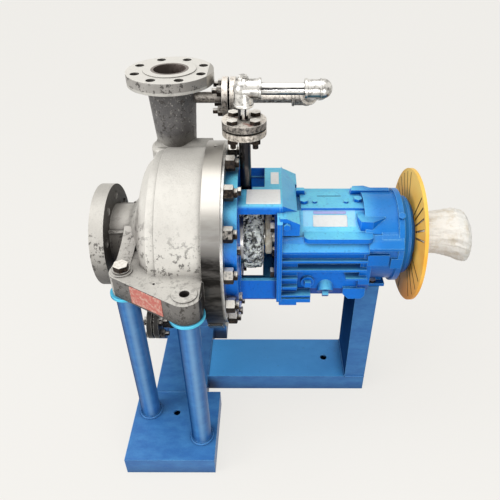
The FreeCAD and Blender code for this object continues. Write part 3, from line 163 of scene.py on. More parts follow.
def mix_shaders(tree, share, first, second):
    mix = add_node(tree, "MixShader")
    feed(mix.inputs["Fac"], share)
    link(first.outputs[0], mix.inputs[1])
    link(second.outputs[0], mix.inputs[2])
    return mix


def make_floor():
    mesh = bpy.data.meshes.new("floor_sheet")
    sheet = bmesh.new()
    bmesh.ops.create_grid(sheet, x_segments=2, y_segments=2, size=9.0)
    sheet.to_mesh(mesh)
    sheet.free()
    floor = new_object("floor_sheet", mesh)
    material = bpy.data.materials.new("floor_paper")
    material.use_nodes = True
    tree = material.node_tree
    tree.nodes.clear()
    lit = add_node(tree, "BsdfDiffuse", Color=floor_grey)
    paper = add_node(tree, "Emission", Color=paper_white, Strength=1.0)
    bounce = add_node(tree, "BsdfDiffuse", Color=bounce_grey)
    shown = mix_shaders(tree, paper_share, lit, paper)
    out = add_node(tree, "OutputMaterial")
    link(mix_shaders(tree, seen_directly(tree), bounce, shown).outputs[0], out.inputs["Surface"])
    mesh.materials.append(material)
    return floor


def make_world():
    world = bpy.data.worlds.new("pale_room")
    bpy.context.scene.world = world
    world.use_nodes = True
    tree = world.node_tree
    tree.nodes.clear()
    room = add_node(tree, "Background", Color=room_white, Strength=room_strength)
    paper = add_node(tree, "Background", Color=backdrop_white, Strength=1.0)
    out = add_node(tree, "OutputWorld")
    link(mix_shaders(tree, seen_directly(tree), room, paper).outputs[0], out.inputs["Surface"])


floor = make_floor()
make_world()
print("floor", floor.name, "and world", bpy.context.scene.world.name)

# %% [markdown]
# Lamps
#
# The pump stands in a bright room with broad light from above, so tops read nearly white and
# sides that face the viewer fall off fast. A room with windows could be built round it. A wide
# ceiling light, a softbox on the left and a weak one in front give the same shading.

# %% Lamps
def add_lamp(name, kind, place, aim, power, **values):
    """Lamp at place that shines towards aim."""
    data = bpy.data.lights.new(name, kind)
    data.energy = power
    for setting, value in values.items():
        setattr(data, setting, value)
    turn = (Vector(aim) - Vector(place)).to_track_quat("-Z", "Y").to_matrix().to_4x4()
    new_object(name, data).matrix_world = Matrix.Translation(place) @ turn


spread = radians(58.0)
add_lamp("ceiling_light", "SUN", (-0.5, -0.2, 3.0), (0.1, 0.0, 0.0), 1.90, angle=spread)
add_lamp("left_softbox", "AREA", (-2.9, -1.5, 1.5), (0.05, 0.0, 0.45), 60.0, size=1.6)
add_lamp("window_softbox", "AREA", (0.45, -1.7, 0.62), (0.08, -0.08, 0.514), 12.0, size=0.6)
bpy.context.scene.view_settings.view_transform = "Standard"
print("lamps", [lamp.name for lamp in bpy.data.lights])

# %% [markdown]
# Helpers for finishes
#
# Every finish is built from nodes that read Object coordinates, so the pattern stays on the piece.
# Short helpers for noise, ramps, blends and layers keep each finish readable.

# %% Finish helpers
def new_finish(name, roughness=0.5, metallic=0.0):
    material = bpy.data.materials.new(name)
    material.use_nodes = True
    tree = material.node_tree
    into = tree.nodes["Principled BSDF"].inputs
    into["Roughness"].default_value = roughness
    into["Metallic"].default_value = metallic
    where = add_node(tree, "TexCoord")
    return material, tree, into, where.outputs["Object"]


def noise_of(where, scale, detail=4.0, roughness=0.55, stretch=None):
    tree = tree_of(where)
    if stretch is not None:
        mapping = add_node(tree, "Mapping", Scale=stretch)
        link(where, mapping.inputs["Vector"])
        where = mapping.outputs["Vector"]
    node = add_node(tree, "TexNoise", Scale=scale, Detail=detail, Roughness=roughness)
    link(where, node.inputs["Vector"])
    return node.outputs["Fac"]


def ramp(value, low, high, start=0.0, end=1.0):
    """Value mapped from low..high to start..end and held at both ends."""
    limits = {"From Min": low, "From Max": high, "To Min": start, "To Max": end}
    node = add_node(tree_of(value), "MapRange", **limits)
    link(value, node.inputs["Value"])
    return node.outputs["Result"]


def blend(share, first, second):
    node = add_node(tree_of(share, first, second), "Mix", data_type="RGBA")
    for slot, value in ((0, share), (6, first), (7, second)):
        feed(node.inputs[slot], value)
    return node.outputs[2]


def layers_over(colour, *layers):
    """Colour with layers laid over it in turn, each a mask, the share where it is 1, and a shade."""
    for mask, share, shade in layers:
        colour = blend(times(mask, share), colour, shade)
    return colour


print("finish helpers ready")

# %% [markdown]
# Masks and bump
#
# A mask is a number from 0 to 1 that says where a stain, a painted shade or a painted highlight
# lies. Masks could be painted by hand. Here they come from place, slope, corners and edges, so they
# follow the piece.
# The bump helper can round the normals at sharp edges, so that cast and painted edges catch light.

# %% Masks and bump
def parts_of(where):
    node = add_node(tree_of(where), "SeparateXYZ")
    link(where, node.inputs[0])
    return node.outputs["X"], node.outputs["Y"], node.outputs["Z"]


def facing(tree, axis):
    """How far a surface faces along an axis: 1 along it, 0 square to it and -1 against it."""
    geometry = add_node(tree, "NewGeometry")
    return parts_of(geometry.outputs["Normal"])["XYZ".index(axis)]


def corner_shade(tree, distance, closed=0.35, open_share=0.85):
    """1 deep in corners and gaps narrower than distance, 0 in the open; shade is painted there."""
    node = add_node(tree, "AmbientOcclusion", samples=8, Distance=distance)
    return ramp(node.outputs["AO"], open_share, closed)


def edge_highlight(tree, radius):
    """1 on outer edges, where highlights are painted."""
    rounded = add_node(tree, "Bevel", Radius=radius, samples=4)
    geometry = add_node(tree, "NewGeometry")
    alike = add_node(tree, "VectorMath", operation="DOT_PRODUCT")
    link(rounded.outputs["Normal"], alike.inputs[0])
    link(geometry.outputs["Normal"], alike.inputs[1])
    return ramp(alike.outputs["Value"], 0.985, 0.90)


def band_of(value, middle, half, soft=0.001):
    """1 within half of middle, falling to 0 over a short distance."""
    away = math_of("ABSOLUTE", minus(value, middle))
    return ramp(away, half + soft, half)


def diagonal(first, second):
    """Length of the diagonal of two offsets."""
    return math_of("SQRT", plus(times(first, first), times(second, second)))


def above_shaft(z):
    """Height above the shaft axis."""
    return minus(z, shaft_height)


def add_bump(into, height, distance, edge=0.0):
    tree = tree_of(height)
    node = add_node(tree, "Bump", Distance=distance)
    link(height, node.inputs["Height"])
    if edge > 0.0:
        rounded = add_node(tree, "Bevel", Radius=edge, samples=4)
        link(rounded.outputs["Normal"], node.inputs["Normal"])
    link(node.outputs["Normal"], into["Normal"])


finishes = {}


def keep_finish(slot, material):
    """Store a finish under the name of its slot."""
    finishes[slot] = material
    print(slot, "finish with", len(material.node_tree.nodes), "nodes")


print("masks ready, heights counted from", shaft_height, "m")

# %% [markdown]
# Places on the casing
#
# The casing is coloured by place: its nozzle is dark, its upper flange face is rubbed clean, and its
# underside, lower half, lug sides, rims, nozzle bore and the back of the suction flange are darkened
# as painted shade. Each place could be painted by hand. Here a mask is worked out from its size.

# %% Places on the casing
nozzle_x, nozzle_y, nozzle_reach, nozzle_foot = -0.1335, 0.172, 0.064, 0.185
nozzle_bore = 0.0455
flange_edge, flange_face = 0.3362, 0.3520
suction_rim_x = -0.270
lug_face_y = -0.2125


def casing_places(tree, x, y, rise, up):
    """Masks by name for the parts of the casing that carry their own stains and painted shade."""
    at = {"low": ramp(rise, 0.09, -0.09), "under": ramp(up, 0.15, -0.6)}
    column = times(band_of(x, nozzle_x, nozzle_reach), band_of(y, nozzle_y, nozzle_reach))
    stem = ramp(rise, flange_edge + 0.0013, flange_edge + 0.0003)
    stem = times(stem, ramp(rise, nozzle_foot, nozzle_foot + 0.030))
    at["nozzle"] = times(column, stem)
    # Behind the suction flange, the lug sides, the low suction rim, the flange rims and the bore take
    # painted shade
    at["behind"] = times(ramp(x, -0.235, -0.255), ramp(facing(tree, "X"), 0.25, 0.75))
    at["lug_side"] = times(ramp(y, lug_face_y, lug_face_y - 0.0015), ramp(up, 0.75, 0.45))
    at["lug_dark"] = times(at["lug_side"], ramp(rise, 0.012, -0.019))
    rim = ramp(x, suction_rim_x, suction_rim_x - 0.006)
    at["rim_low"] = times(rim, ramp(rise, 0.03, -0.11))
    rib = times(band_of(x, -0.205, 0.018, 0.030), band_of(y, -0.125, 0.045, 0.030))
    at["web"] = times(rib, band_of(rise, 0.088, 0.035, 0.030))
    at["rims"] = times(ramp(rise, flange_edge, flange_edge + 0.0004), ramp(up, 0.8, 0.5))
    at["drum_foot"] = times(ramp(rise, 0.135, 0.060), ramp(up, 0.80, 0.60))
    face = ramp(rise, flange_face - 0.0005, flange_face + 0.0005)
    at["flange_top"] = times(face, ramp(up, 0.8, 0.95))
    from_axis = diagonal(minus(x, nozzle_x), minus(y, nozzle_y))
    at["bore"] = times(ramp(from_axis, nozzle_bore + 0.0005, nozzle_bore - 0.0005),
                       ramp(rise, 0.25, 0.26))
    return at


print("nozzle at", nozzle_x, nozzle_y, "and its flange face", flange_face, "above the shaft")

# %% [markdown]
# Cast stainless
#
# The casing is a bead-blasted casting: pale, dull and warm, with pits, specks and stains, and a dark
# nozzle. Painted shade darkens it low down, on its undersides, lug sides and rims, in corners and
# behind the suction flange, and painted highlights lighten its edges. Its joint ring was turned
# bright, so the same material shows streaked steel between two planes along the shaft, with a
# painted reflection that is dark in its lower half.

# %% Cast stainless
cast_pale = (0.62, 0.60, 0.555)
cast_grey = (0.27, 0.25, 0.225)
cast_black = (0.035, 0.030, 0.026)
turned_bright = (0.36, 0.35, 0.335)
ring_start_x = -0.0412
ring_inner_radius = 0.2165
# Places where stains gather and where shade is painted
dirt_and_shade_places = ("low", "under", "nozzle", "behind", "lug_side", "web", "rims")


def stained_and_shaded_casting(tree, where, at, x, rise, radius, blots, pits):
    """Pale casting with stains, specks and painted shade laid over it one by one."""
    clouds = noise_of(where, 13.0, 6.0, 0.62)
    spots = noise_of(where, 120.0, 6.0, 0.75)
    dirt_and_shade = largest(*[at[name] for name in dirt_and_shade_places])
    neck = times(ramp(x, -0.186, -0.202), ramp(radius, 0.090, 0.078))
    # The nozzle is dark grey, and darker towards its flange as painted shade
    nozzle_shade = blend(ramp(rise, 0.25, 0.335), (0.125, 0.12, 0.12), (0.045, 0.043, 0.043))
    pitted = times(largest(dirt_and_shade, times(at["drum_foot"], 0.9)), 0.85)
    return layers_over(
        cast_pale,
        (ramp(clouds, 0.40, 0.68), plus(times(dirt_and_shade, 0.7), 0.16), cast_grey),
        (ramp(x, -0.250, -0.262), 0.42, (0.36, 0.34, 0.31)),
        # Painted shade on downward faces and, lighter, over the lower half
        (at["under"], 0.8, (0.09, 0.08, 0.075)),
        (at["low"], 0.16, (0.30, 0.28, 0.26)),
        (at["nozzle"], 1.0, nozzle_shade),
        (at["web"], 0.55, (0.20, 0.18, 0.165)),
        # Brown neck, darker on its lower side as painted shade
        (neck, ramp(rise, 0.07, -0.02, 0.20, 0.72), (0.150, 0.125, 0.105)),
        # Painted shade on the flange rims, behind the suction flange, on the low suction rim and on the lug
        # sides
        (at["rims"], ramp(x, -0.20, -0.05, 0.45, 0.8), (0.23, 0.215, 0.20)),
        (at["behind"], 0.93, (0.022, 0.019, 0.017)),
        (at["rim_low"], 0.88, (0.075, 0.068, 0.062)),
        (at["lug_side"], 0.85, (0.105, 0.098, 0.092)),
        (at["lug_dark"], 0.85, (0.035, 0.032, 0.030)),
        (ramp(blots, 0.552, 0.576), plus(pitted, 0.06), cast_black),
        (times(ramp(spots, 0.58, 0.64), at["nozzle"]), 0.8, (0.42, 0.40, 0.37)),
        (ramp(pits, 0.60, 0.68), plus(times(dirt_and_shade, 0.5), 0.25), cast_grey),
        (at["flange_top"], 0.7, (0.84, 0.815, 0.76)),
        # Painted shade inside the nozzle bore and in corners
        (at["bore"], 0.85, (0.13, 0.095, 0.082)),
        (corner_shade(tree, 0.05), 0.82, (0.06, 0.052, 0.046)))


def ring_streaks_and_reflection(where, rise):
    """Turned steel with streaks round the ring, and a painted reflection, lighter near the top and dark in
    its lower half.
    """
    streak = noise_of(where, 26.0, 5.0, 0.65, (0.5, 3.2, 1.8))
    bright = blend(ramp(streak, 0.40, 0.60), turned_bright, (0.30, 0.285, 0.27))
    bright = blend(ramp(rise, 0.13, 0.19), bright, (0.42, 0.40, 0.365))
    dark = blend(ramp(streak, 0.44, 0.62), (0.010, 0.009, 0.008), (0.070, 0.066, 0.062))
    return blend(ramp(rise, 0.118, 0.080), bright, dark)


def cast_stainless():
    material, tree, into, where = new_finish("cast_stainless", 0.46, 0.25)
    x, y, z = parts_of(where)
    rise = above_shaft(z)
    up = facing(tree, "Z")
    radius = diagonal(y, rise)
    blots = noise_of(where, 70.0, 6.0, 0.74)
    pits = noise_of(where, 300.0, 3.0, 0.6)
    colour = stained_and_shaded_casting(tree, where, casing_places(tree, x, y, rise, up), x, rise, radius, blots, pits)
    on_ring = times(ramp(x, ring_start_x, ring_start_x + 0.0004),
                    ramp(radius, ring_inner_radius, ring_inner_radius + 0.0004))
    colour = blend(on_ring, colour, ring_streaks_and_reflection(where, rise))
    # Painted highlight along edges, strongest on upper faces
    wear_and_highlight = ramp(up, -0.3, 0.4, 0.0, 0.55)
    colour = layers_over(colour, (edge_highlight(tree, 0.0016), wear_and_highlight, (0.80, 0.78, 0.73)))
    link(colour, into["Base Color"])
    link(minus(0.50, times(on_ring, 0.18)), into["Roughness"])
    link(plus(0.25, times(on_ring, 0.6)), into["Metallic"])
    height = plus(times(pits, 0.5), times(blots, 1.2))
    height = times(height, minus(1.0, times(on_ring, 0.95)))
    add_bump(into, height, 0.0009, 0.0016)
    return material


keep_finish("cast_stainless", cast_stainless())

# %% [markdown]
# Turned steel and brass
#
# The shaft, the seal and the bearings are turned and ground, and the ball cages are turned brass.
# Tool marks are too fine to draw, so fine noise varies the colour and the roughness together.

# %% Turned metals
def turned_steel(name, colour, roughness, streaks=1.0):
    material, _, into, where = new_finish(name, roughness, 1.0)
    fine = noise_of(where, 90.0, 4.0, 0.6)
    dark = tuple(c * 0.55 for c in colour)
    link(blend(ramp(fine, 0.3, 0.75), colour, dark), into["Base Color"])
    link(ramp(fine, 0.2, 0.8, roughness, roughness + 0.14 * streaks), into["Roughness"])
    add_bump(into, noise_of(where, 700.0, 2.0), 0.0001)
    return material


keep_finish("machined_steel", turned_steel("machined_steel", (0.62, 0.61, 0.59), 0.24))
keep_finish("bearing_steel", turned_steel("bearing_steel", (0.72, 0.72, 0.72), 0.12, 0.5))
keep_finish("cage_brass", turned_steel("cage_brass", (0.75, 0.58, 0.26), 0.22))

# %% [markdown]
# Fasteners
#
# The old fasteners are pale on their upper faces and dark on their sides and in corners, which is
# painted shade. Each could be shaded by hand. There are many, so the finish darkens with the slope
# of each face.

# %% Fasteners
def shaded_bolts():
    material, tree, into, where = new_finish("shaded_bolt_steel", 0.34, 0.35)
    up = facing(tree, "Z")
    fine = noise_of(where, 150.0, 5.0, 0.65)
    edge = plus(up, times(minus(fine, 0.5), 0.7))
    # Painted shade: sides and corners dark, upper faces pale
    side_and_corner_shade = largest(ramp(edge, 0.80, 0.45), times(corner_shade(tree, 0.012), 0.9))
    pale = blend(ramp(fine, 0.40, 0.75), (0.95, 0.92, 0.86), (0.62, 0.56, 0.48))
    dark = blend(ramp(fine, 0.4, 0.65), (0.005, 0.004, 0.004), (0.052, 0.036, 0.026))
    link(blend(side_and_corner_shade, pale, dark), into["Base Color"])
    link(ramp(fine, 0.3, 0.7, 0.26, 0.5), into["Roughness"])
    link(ramp(side_and_corner_shade, 0.0, 1.0, 0.5, 0.16), into["Specular IOR Level"])
    add_bump(into, fine, 0.0004, 0.0006)
    return material


keep_finish("bolt_steel", shaded_bolts())

# %% [markdown]
# Flush line
#
# Polished pipe shows a dark room below its bright upper side. A photographed room could be
# mirrored, but a few bands of grey by the way a face points are steadier. The flush flanges were
# only turned, so they are duller and warmer, with a little old red primer.

# %% Bright pipe and the riser
pair_a_x = 0.007
pair_b_rise = 0.288
pair_reach = 0.0195
# Dark of painted shade, for corners and the drain flanges under the casing
pipe_shade = (0.03, 0.028, 0.026)


def chrome_colour(way, fine):
    """Reflection of a pale room with a dark horizon, for a way of facing from -1 to 1."""
    bend = plus(way, times(minus(fine, 0.5), 0.25))
    band = times(ramp(bend, 0.46, 0.38), ramp(bend, 0.08, 0.16))
    band = largest(band, ramp(bend, -0.36, -0.48))
    grey = blend(ramp(bend, 0.3, -0.1), (0.95, 0.935, 0.91), (0.72, 0.71, 0.69))
    return blend(band, grey, (0.035, 0.035, 0.04))


def flange_colour(tree, where, up, spots, drain):
    """Turned beige steel with patches of old primer, painted shade on its sides, in corners and on the drain
    flanges, and painted highlights on its edges.
    """
    side_dark = blend(ramp(spots, 0.40, 0.60), (0.30, 0.27, 0.24), (0.035, 0.03, 0.028))
    return layers_over(
        (0.90, 0.84, 0.76),
        (ramp(spots, 0.50, 0.66), 1.0, (0.30, 0.26, 0.22)),
        (ramp(noise_of(where, 45.0, 4.0, 0.6), 0.60, 0.68), 0.7, (0.42, 0.12, 0.08)),
        # Painted shade on the sides, in corners and on the drain flanges, and painted highlights on edges
        (ramp(up, 0.5, 0.1), 1.0, side_dark),
        (largest(times(corner_shade(tree, 0.02), 0.9), drain), 1.0, pipe_shade),
        (edge_highlight(tree, 0.0011), 1.0, (0.84, 0.80, 0.73)))


def bright_pipe(name="bright_pipe", upright=False, fitting=False):
    material, tree, into, where = new_finish(name, 0.12, 1.0)
    x, _, z = parts_of(where)
    rise = above_shaft(z)
    up = facing(tree, "Z")
    fine = noise_of(where, 70.0, 4.0, 0.6)
    spots = noise_of(where, 160.0, 6.0, 0.7)
    chrome = chrome_colour(facing(tree, "X") if upright else up, fine)
    if fitting:
        blots = noise_of(where, 90.0, 6.0, 0.7)
        cast = blend(ramp(blots, 0.46, 0.60), (0.80, 0.78, 0.74), (0.22, 0.21, 0.195))
        # Painted shade on the underside of the fittings
        cast = blend(ramp(up, 0.0, -0.7), cast, (0.10, 0.095, 0.09))
        chrome = blend(0.78, chrome, cast)
    # Painted shade in corners
    chrome = layers_over(chrome, (corner_shade(tree, 0.02), 0.9, pipe_shade))
    at_a = times(band_of(x, pair_a_x, pair_reach), ramp(rise, 0.200, 0.201))
    drain = ramp(rise, -0.20, -0.21)
    turned = largest(at_a, band_of(rise, pair_b_rise, pair_reach), drain)
    colour = blend(turned, chrome, flange_colour(tree, where, up, spots, drain))
    link(colour, into["Base Color"])
    smooth, rough = (0.24, 0.34) if fitting else (0.08, 0.18)
    roughness = plus(ramp(fine, 0.2, 0.8, smooth, rough), times(turned, 0.30))
    link(roughness, into["Roughness"])
    link(minus(1.0, times(turned, 0.45)), into["Metallic"])
    add_bump(into, largest(times(spots, turned), times(fine, 0.2)), 0.0005, 0.0006)
    return material


def riser_finish():
    material, _, into, where = new_finish("riser_dark_steel", 0.22, 0.9)
    rise = above_shaft(parts_of(where)[2])
    fine = noise_of(where, 60.0, 5.0, 0.65, (1.0, 1.0, 0.25))
    dark = blend(ramp(fine, 0.5, 0.7), (0.028, 0.027, 0.03), (0.15, 0.13, 0.12))
    flange = ramp(rise, pair_b_rise - pair_reach, pair_b_rise - pair_reach + 0.001)
    spots = noise_of(where, 160.0, 6.0, 0.7)
    beige = blend(ramp(spots, 0.45, 0.62), (0.60, 0.55, 0.49), (0.16, 0.14, 0.12))
    link(blend(flange, dark, beige), into["Base Color"])
    link(plus(0.18, times(flange, 0.3)), into["Roughness"])
    add_bump(into, spots, 0.0003, 0.0006)
    return material


keep_finish("bright_pipe", bright_pipe())

# %% [markdown]
# Azure paint
#
# A glossy azure is sprayed over the rough castings. It is lighter on upper faces as painted light,
# deep below and in corners as painted shade, and pale along edges as painted highlights, so each of
# these is a layer over the blue.

# %% Azure paint
azure = (0.001, 0.215, 0.850)
# Deep azure for painted shade below and for mottle; pale azure for painted light on upper faces
azure_deep = (0.001, 0.042, 0.320)
azure_lit = (0.190, 0.740, 0.930)


def sprayed_paint():
    material, tree, into, where = new_finish("azure_sprayed_paint", 0.30)
    x, y, z = parts_of(where)
    up = facing(tree, "Z")
    clouds = noise_of(where, 24.0, 5.0, 0.6)
    mottle = noise_of(where, 130.0, 6.0, 0.7)
    # Painted light on upper faces
    lit_tops = times(ramp(up, 0.30, 0.88), ramp(clouds, 0.25, 0.75, 0.72, 1.0))
    panel = times(band_of(x, 0.245, 0.061), band_of(above_shaft(z), 0.0835, 0.0112))
    colour = layers_over(
        azure,
        # Painted shade on downward faces, then painted light on upper faces, weaker towards the rear
        (ramp(up, 0.1, -0.5), 1.0, azure_deep),
        (lit_tops, ramp(x, 0.30, 0.36, 1.0, 0.22), azure_lit),
        (ramp(mottle, 0.55, 0.66), 0.30, azure_deep),
        (times(panel, ramp(y, -0.030, -0.034)), 0.42, (0.50, 0.76, 0.93)),
        # Painted shade in corners
        (corner_shade(tree, 0.024), 0.82, (0.001, 0.030, 0.200)),
        (ramp(x, 0.31, 0.37), 0.60, (0.001, 0.120, 0.400)),
        # Painted highlight on edges, mostly on upper ones
        (edge_highlight(tree, 0.0017), ramp(up, -0.35, 0.35, 0.12, 0.80), (0.30, 0.74, 0.93)))
    link(colour, into["Base Color"])
    into["Specular IOR Level"].default_value = 0.25
    add_bump(into, plus(noise_of(where, 240.0, 3.0, 0.6), times(clouds, 1.4)), 0.0009, 0.0022)
    return material


keep_finish("azure_paint", sprayed_paint())

# %% [markdown]
# Stand paint
#
# The stand is brushed in a darker blue, and the discs under the lugs are paler. A brush leaves long
# streaks, so the noise is stretched. The beam top carries painted light and each leg a painted
# highlight strip on its side; leg flanks, faces turned away from the light and corners carry painted
# shade, and edges painted highlights.

# %% Stand paint
stand_blue = (0.034, 0.146, 0.400)
stand_worn = (0.060, 0.232, 0.510)
cap_blue = (0.100, 0.620, 0.860)


def brushed_paint():
    material, tree, into, where = new_finish("blue_brushed_paint", 0.36)
    x, y, z = parts_of(where)
    side = facing(tree, "X")
    streaks = noise_of(where, 16.0, 6.0, 0.6, (1.6, 3.0, 3.0))
    scuffs = noise_of(where, 95.0, 6.0, 0.75)
    # Painted light on the upper face of the long beam, fading towards the post
    beam_top = times(ramp(x, -0.074, -0.070), ramp(facing(tree, "Z"), 0.7, 0.9))
    beam_top = times(times(beam_top, band_of(y, 0.0, 0.0745)), ramp(z, 0.060, 0.058))
    on_leg = times(ramp(x, -0.03, -0.04), ramp(z, 0.062, 0.066))
    on_leg = times(on_leg, ramp(facing(tree, "Y"), -0.1, -0.4))
    # Painted shade on the flanks of the legs
    edges = ramp(math_of("ABSOLUTE", side), 0.60, 0.95, 0.0, 0.65)
    # Painted shade on faces turned away from the light
    away = ramp(side, -0.3, -0.8)
    colour = layers_over(
        stand_blue,
        (ramp(streaks, 0.36, 0.80), 1.0, stand_worn),
        (beam_top, ramp(x, -0.06, 0.30, 0.85, 0.45), (0.080, 0.440, 0.960)),
        (edges, on_leg, (0.020, 0.085, 0.270)),
        # Painted highlight strip along the side of each leg
        (times(band_of(side, 0.24, 0.06, 0.34), on_leg), 0.38, (0.34, 0.58, 0.80)),
        (ramp(above_shaft(z), -0.0290, -0.0288), 1.0, cap_blue),
        (away, 0.8, (0.004, 0.030, 0.110)),
        (ramp(scuffs, 0.62, 0.70), 0.4, (0.010, 0.050, 0.170)),
        # Painted shade in corners, painted highlights on edges
        (corner_shade(tree, 0.05), 0.75, (0.003, 0.030, 0.120)),
        (edge_highlight(tree, 0.0018), 0.45, (0.20, 0.55, 0.85)))
    link(colour, into["Base Color"])
    link(minus(0.28, times(away, 0.28)), into["Specular IOR Level"])
    add_bump(into, plus(streaks, scuffs), 0.0004, 0.0020)
    return material


keep_finish("stand_paint", brushed_paint())

# %% [markdown]
# Guard coat and gaskets
#
# The guard disc has a yellow powder coat, with painted shade towards its bottom and painted light
# near its top, and its slits look nearly black. They are too narrow for light to show, so their
# walls are darkened as painted shade where the record puts each slit.
# The gaskets are plain graphite.

# %% Guard coat and graphite
# First angle, count and pitch in degrees of each group of slits
slit_groups = ((-64.0, 5, 11.6), (24.0, 5, 9.5), (100.0, 4, 12.0), (172.0, 5, 12.0), (246.0, 3, 12.0))
slit_inner_radius, slit_outer_radius, slit_half = 0.088, 0.157, 0.0025


def near_slits(y, rise):
    """1 on the walls and edges of the disc's radial slits, counted from the top to the near side."""
    angle = math_of("ARCTAN2", times(y, -1.0), rise)
    degrees = times(angle, 180.0 / pi)
    radius = diagonal(y, rise)
    masks = []
    for first, count, pitch in slit_groups:
        local = math_of("WRAP", minus(degrees, first), 360.0 - pitch / 2)
        local.node.inputs[2].default_value = -pitch / 2
        index = math_of("MINIMUM", math_of("ROUND", times(local, 1.0 / pitch)), count - 1.0)
        away = math_of("ABSOLUTE", minus(local, times(index, pitch)))
        off_slit = times(times(away, pi / 180.0), radius)
        masks.append(ramp(off_slit, slit_half + 0.0004, slit_half - 0.0004))
    inside = times(ramp(radius, slit_inner_radius - 0.0015, slit_inner_radius),
                   ramp(radius, slit_outer_radius + 0.0005, slit_outer_radius - 0.0005))
    return times(largest(*masks), inside)


def coated_yellow():
    material, _, into, where = new_finish("guard_yellow_coat", 0.40)
    _, y, z = parts_of(where)
    rise = above_shaft(z)
    colour = layers_over(
        (1.0, 0.58, 0.11),
        (ramp(noise_of(where, 16.0, 6.0, 0.65), 0.35, 0.68), 1.0, (0.96, 0.45, 0.055)),
        # Painted shade towards the bottom of the disc, then painted light near its top
        (ramp(rise, 0.01, -0.13), 0.80, (0.78, 0.26, 0.05)),
        (ramp(rise, 0.07, 0.15), 0.7, (1.0, 0.66, 0.15)),
        # Painted shade in the slits
        (near_slits(y, rise), 0.88, (0.045, 0.016, 0.006)))
    link(colour, into["Base Color"])
    into["Specular IOR Level"].default_value = 0.08
    add_bump(into, noise_of(where, 400.0, 2.0), 0.0002, 0.0005)
    return material


def graphite():
    material, _, into, where = new_finish("gasket_graphite", 0.7)
    fine = noise_of(where, 120.0, 5.0, 0.6)
    link(blend(fine, (0.0225, 0.0225, 0.0225), (0.03, 0.03, 0.03)), into["Base Color"])
    add_bump(into, fine, 0.0005)
    return material


keep_finish("guard_yellow", coated_yellow())
keep_finish("gasket_graphite", graphite())

# %% [markdown]
# Soft materials
#
# The film is clear plastic that has been crushed. Its colour carries painted highlights as white
# glints and painted shade in near black patches. The foam is matt and porous. The cloth is a plain
# weave, with brown patches of painted shade that grow towards its bottom.

# %% Film, foam and cloth
def crushed_film():
    material, _, into, where = new_finish("crushed_film", 0.16)
    folds = noise_of(where, 70.0, 6.0, 0.68)
    # Painted shade in near black patches
    colour = blend(ramp(folds, 0.45, 0.55), (0.020, 0.024, 0.018), (0.93, 0.96, 0.84))
    # Painted highlights as white glints
    glints = ramp(noise_of(where, 150.0, 5.0, 0.7), 0.56, 0.62)
    link(blend(glints, colour, (0.98, 0.99, 0.95)), into["Base Color"])
    into["Transmission Weight"].default_value = 0.08
    add_bump(into, noise_of(where, 190.0, 5.0, 0.7), 0.0016)
    return material


def foam_finish():
    material, _, into, where = new_finish("packing_foam", 0.85)
    pores = noise_of(where, 420.0, 3.0, 0.6)
    folds = noise_of(where, 60.0, 5.0, 0.65)
    colour = blend(ramp(folds, 0.38, 0.62), (0.70, 0.62, 0.48), (1.0, 0.96, 0.84))
    link(colour, into["Base Color"])
    add_bump(into, plus(times(pores, 0.4), folds), 0.0012)
    return material


thread_look = {"Scale": 210.0, "Distortion": 1.2, "Detail": 1.0}


def cloth_finish():
    material, tree, into, where = new_finish("packing_cloth", 0.88)
    threads = []
    for way in "XZ":
        wave = add_node(tree, "TexWave", bands_direction=way, **thread_look)
        link(where, wave.inputs["Vector"])
        threads.append(wave.outputs["Fac"])
    weave = times(*threads)
    rise = above_shaft(parts_of(where)[2])
    # Painted shade: brown patches that grow towards the bottom of the cloth
    brown_shade = noise_of(where, 34.0, 5.0, 0.65)
    brown_shade = plus(brown_shade, ramp(rise, 0.01, -0.08, 0.0, 0.16))
    colour = blend(ramp(brown_shade, 0.48, 0.72), (0.97, 0.95, 0.89), (0.74, 0.66, 0.52))
    link(colour, into["Base Color"])
    into["Sheen Weight"].default_value = 0.25
    height = plus(times(weave, 0.5), noise_of(where, 80.0, 4.0))
    add_bump(into, height, 0.0008)
    return material


keep_finish("packing_film", crushed_film())
keep_finish("packing_foam", foam_finish())
keep_finish("packing_cloth", cloth_finish())


# %% [markdown]
# Dress the frame
#
# Each hard piece keeps its own mesh and gets the finish of its slot in the record. The riser has a
# finish of its own, because its pipe is far darker than the polished line above it.

# %% Finishes on the frame's pieces
for entry in frame["record"]["subparts"]:
    piece = nodes[entry["node"]]
    piece.data.materials.clear()
    piece.data.materials.append(finishes[entry["material_slot"]])
special = {
    "gland_riser": riser_finish(),
    "flush_drop": bright_pipe("upright_pipe", upright=True),
    "flush_tee": bright_pipe("cast_fitting", fitting=True),
    "flush_elbows": bright_pipe("elbow_fitting", fitting=True),
}
for name, material in special.items():
    nodes[name].data.materials.clear()
    nodes[name].data.materials.append(material)
print("dressed", len(nodes), "pieces in", len(finishes), "finishes")

# %% [markdown]
# Making mesh pieces
#
# New pieces are drawn straight into a bmesh, in place, and handed to one function that gives them a
# finish and the body they ride on. Rings of points joined by quads make most of them.

# %% Mesh helpers
def make_piece(name, draft, material=None, body="root", slot="bolt_steel", smooth_angle=35.0):
    mesh = bpy.data.meshes.new(name)
    bmesh.ops.recalc_face_normals(draft, faces=draft.faces)
    for face in draft.faces:
        face.smooth = True
    sharp = radians(smooth_angle)
    for edge in draft.edges:
        if len(edge.link_faces) == 2:
            edge.smooth = edge.calc_face_angle(0.0) < sharp
    draft.to_mesh(mesh)
    count = len(draft.faces)
    draft.free()
    mesh.materials.append(material or finishes[slot])
    piece = new_object(name, mesh)
    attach(piece, body)
    print(name, count, "faces")
    return piece


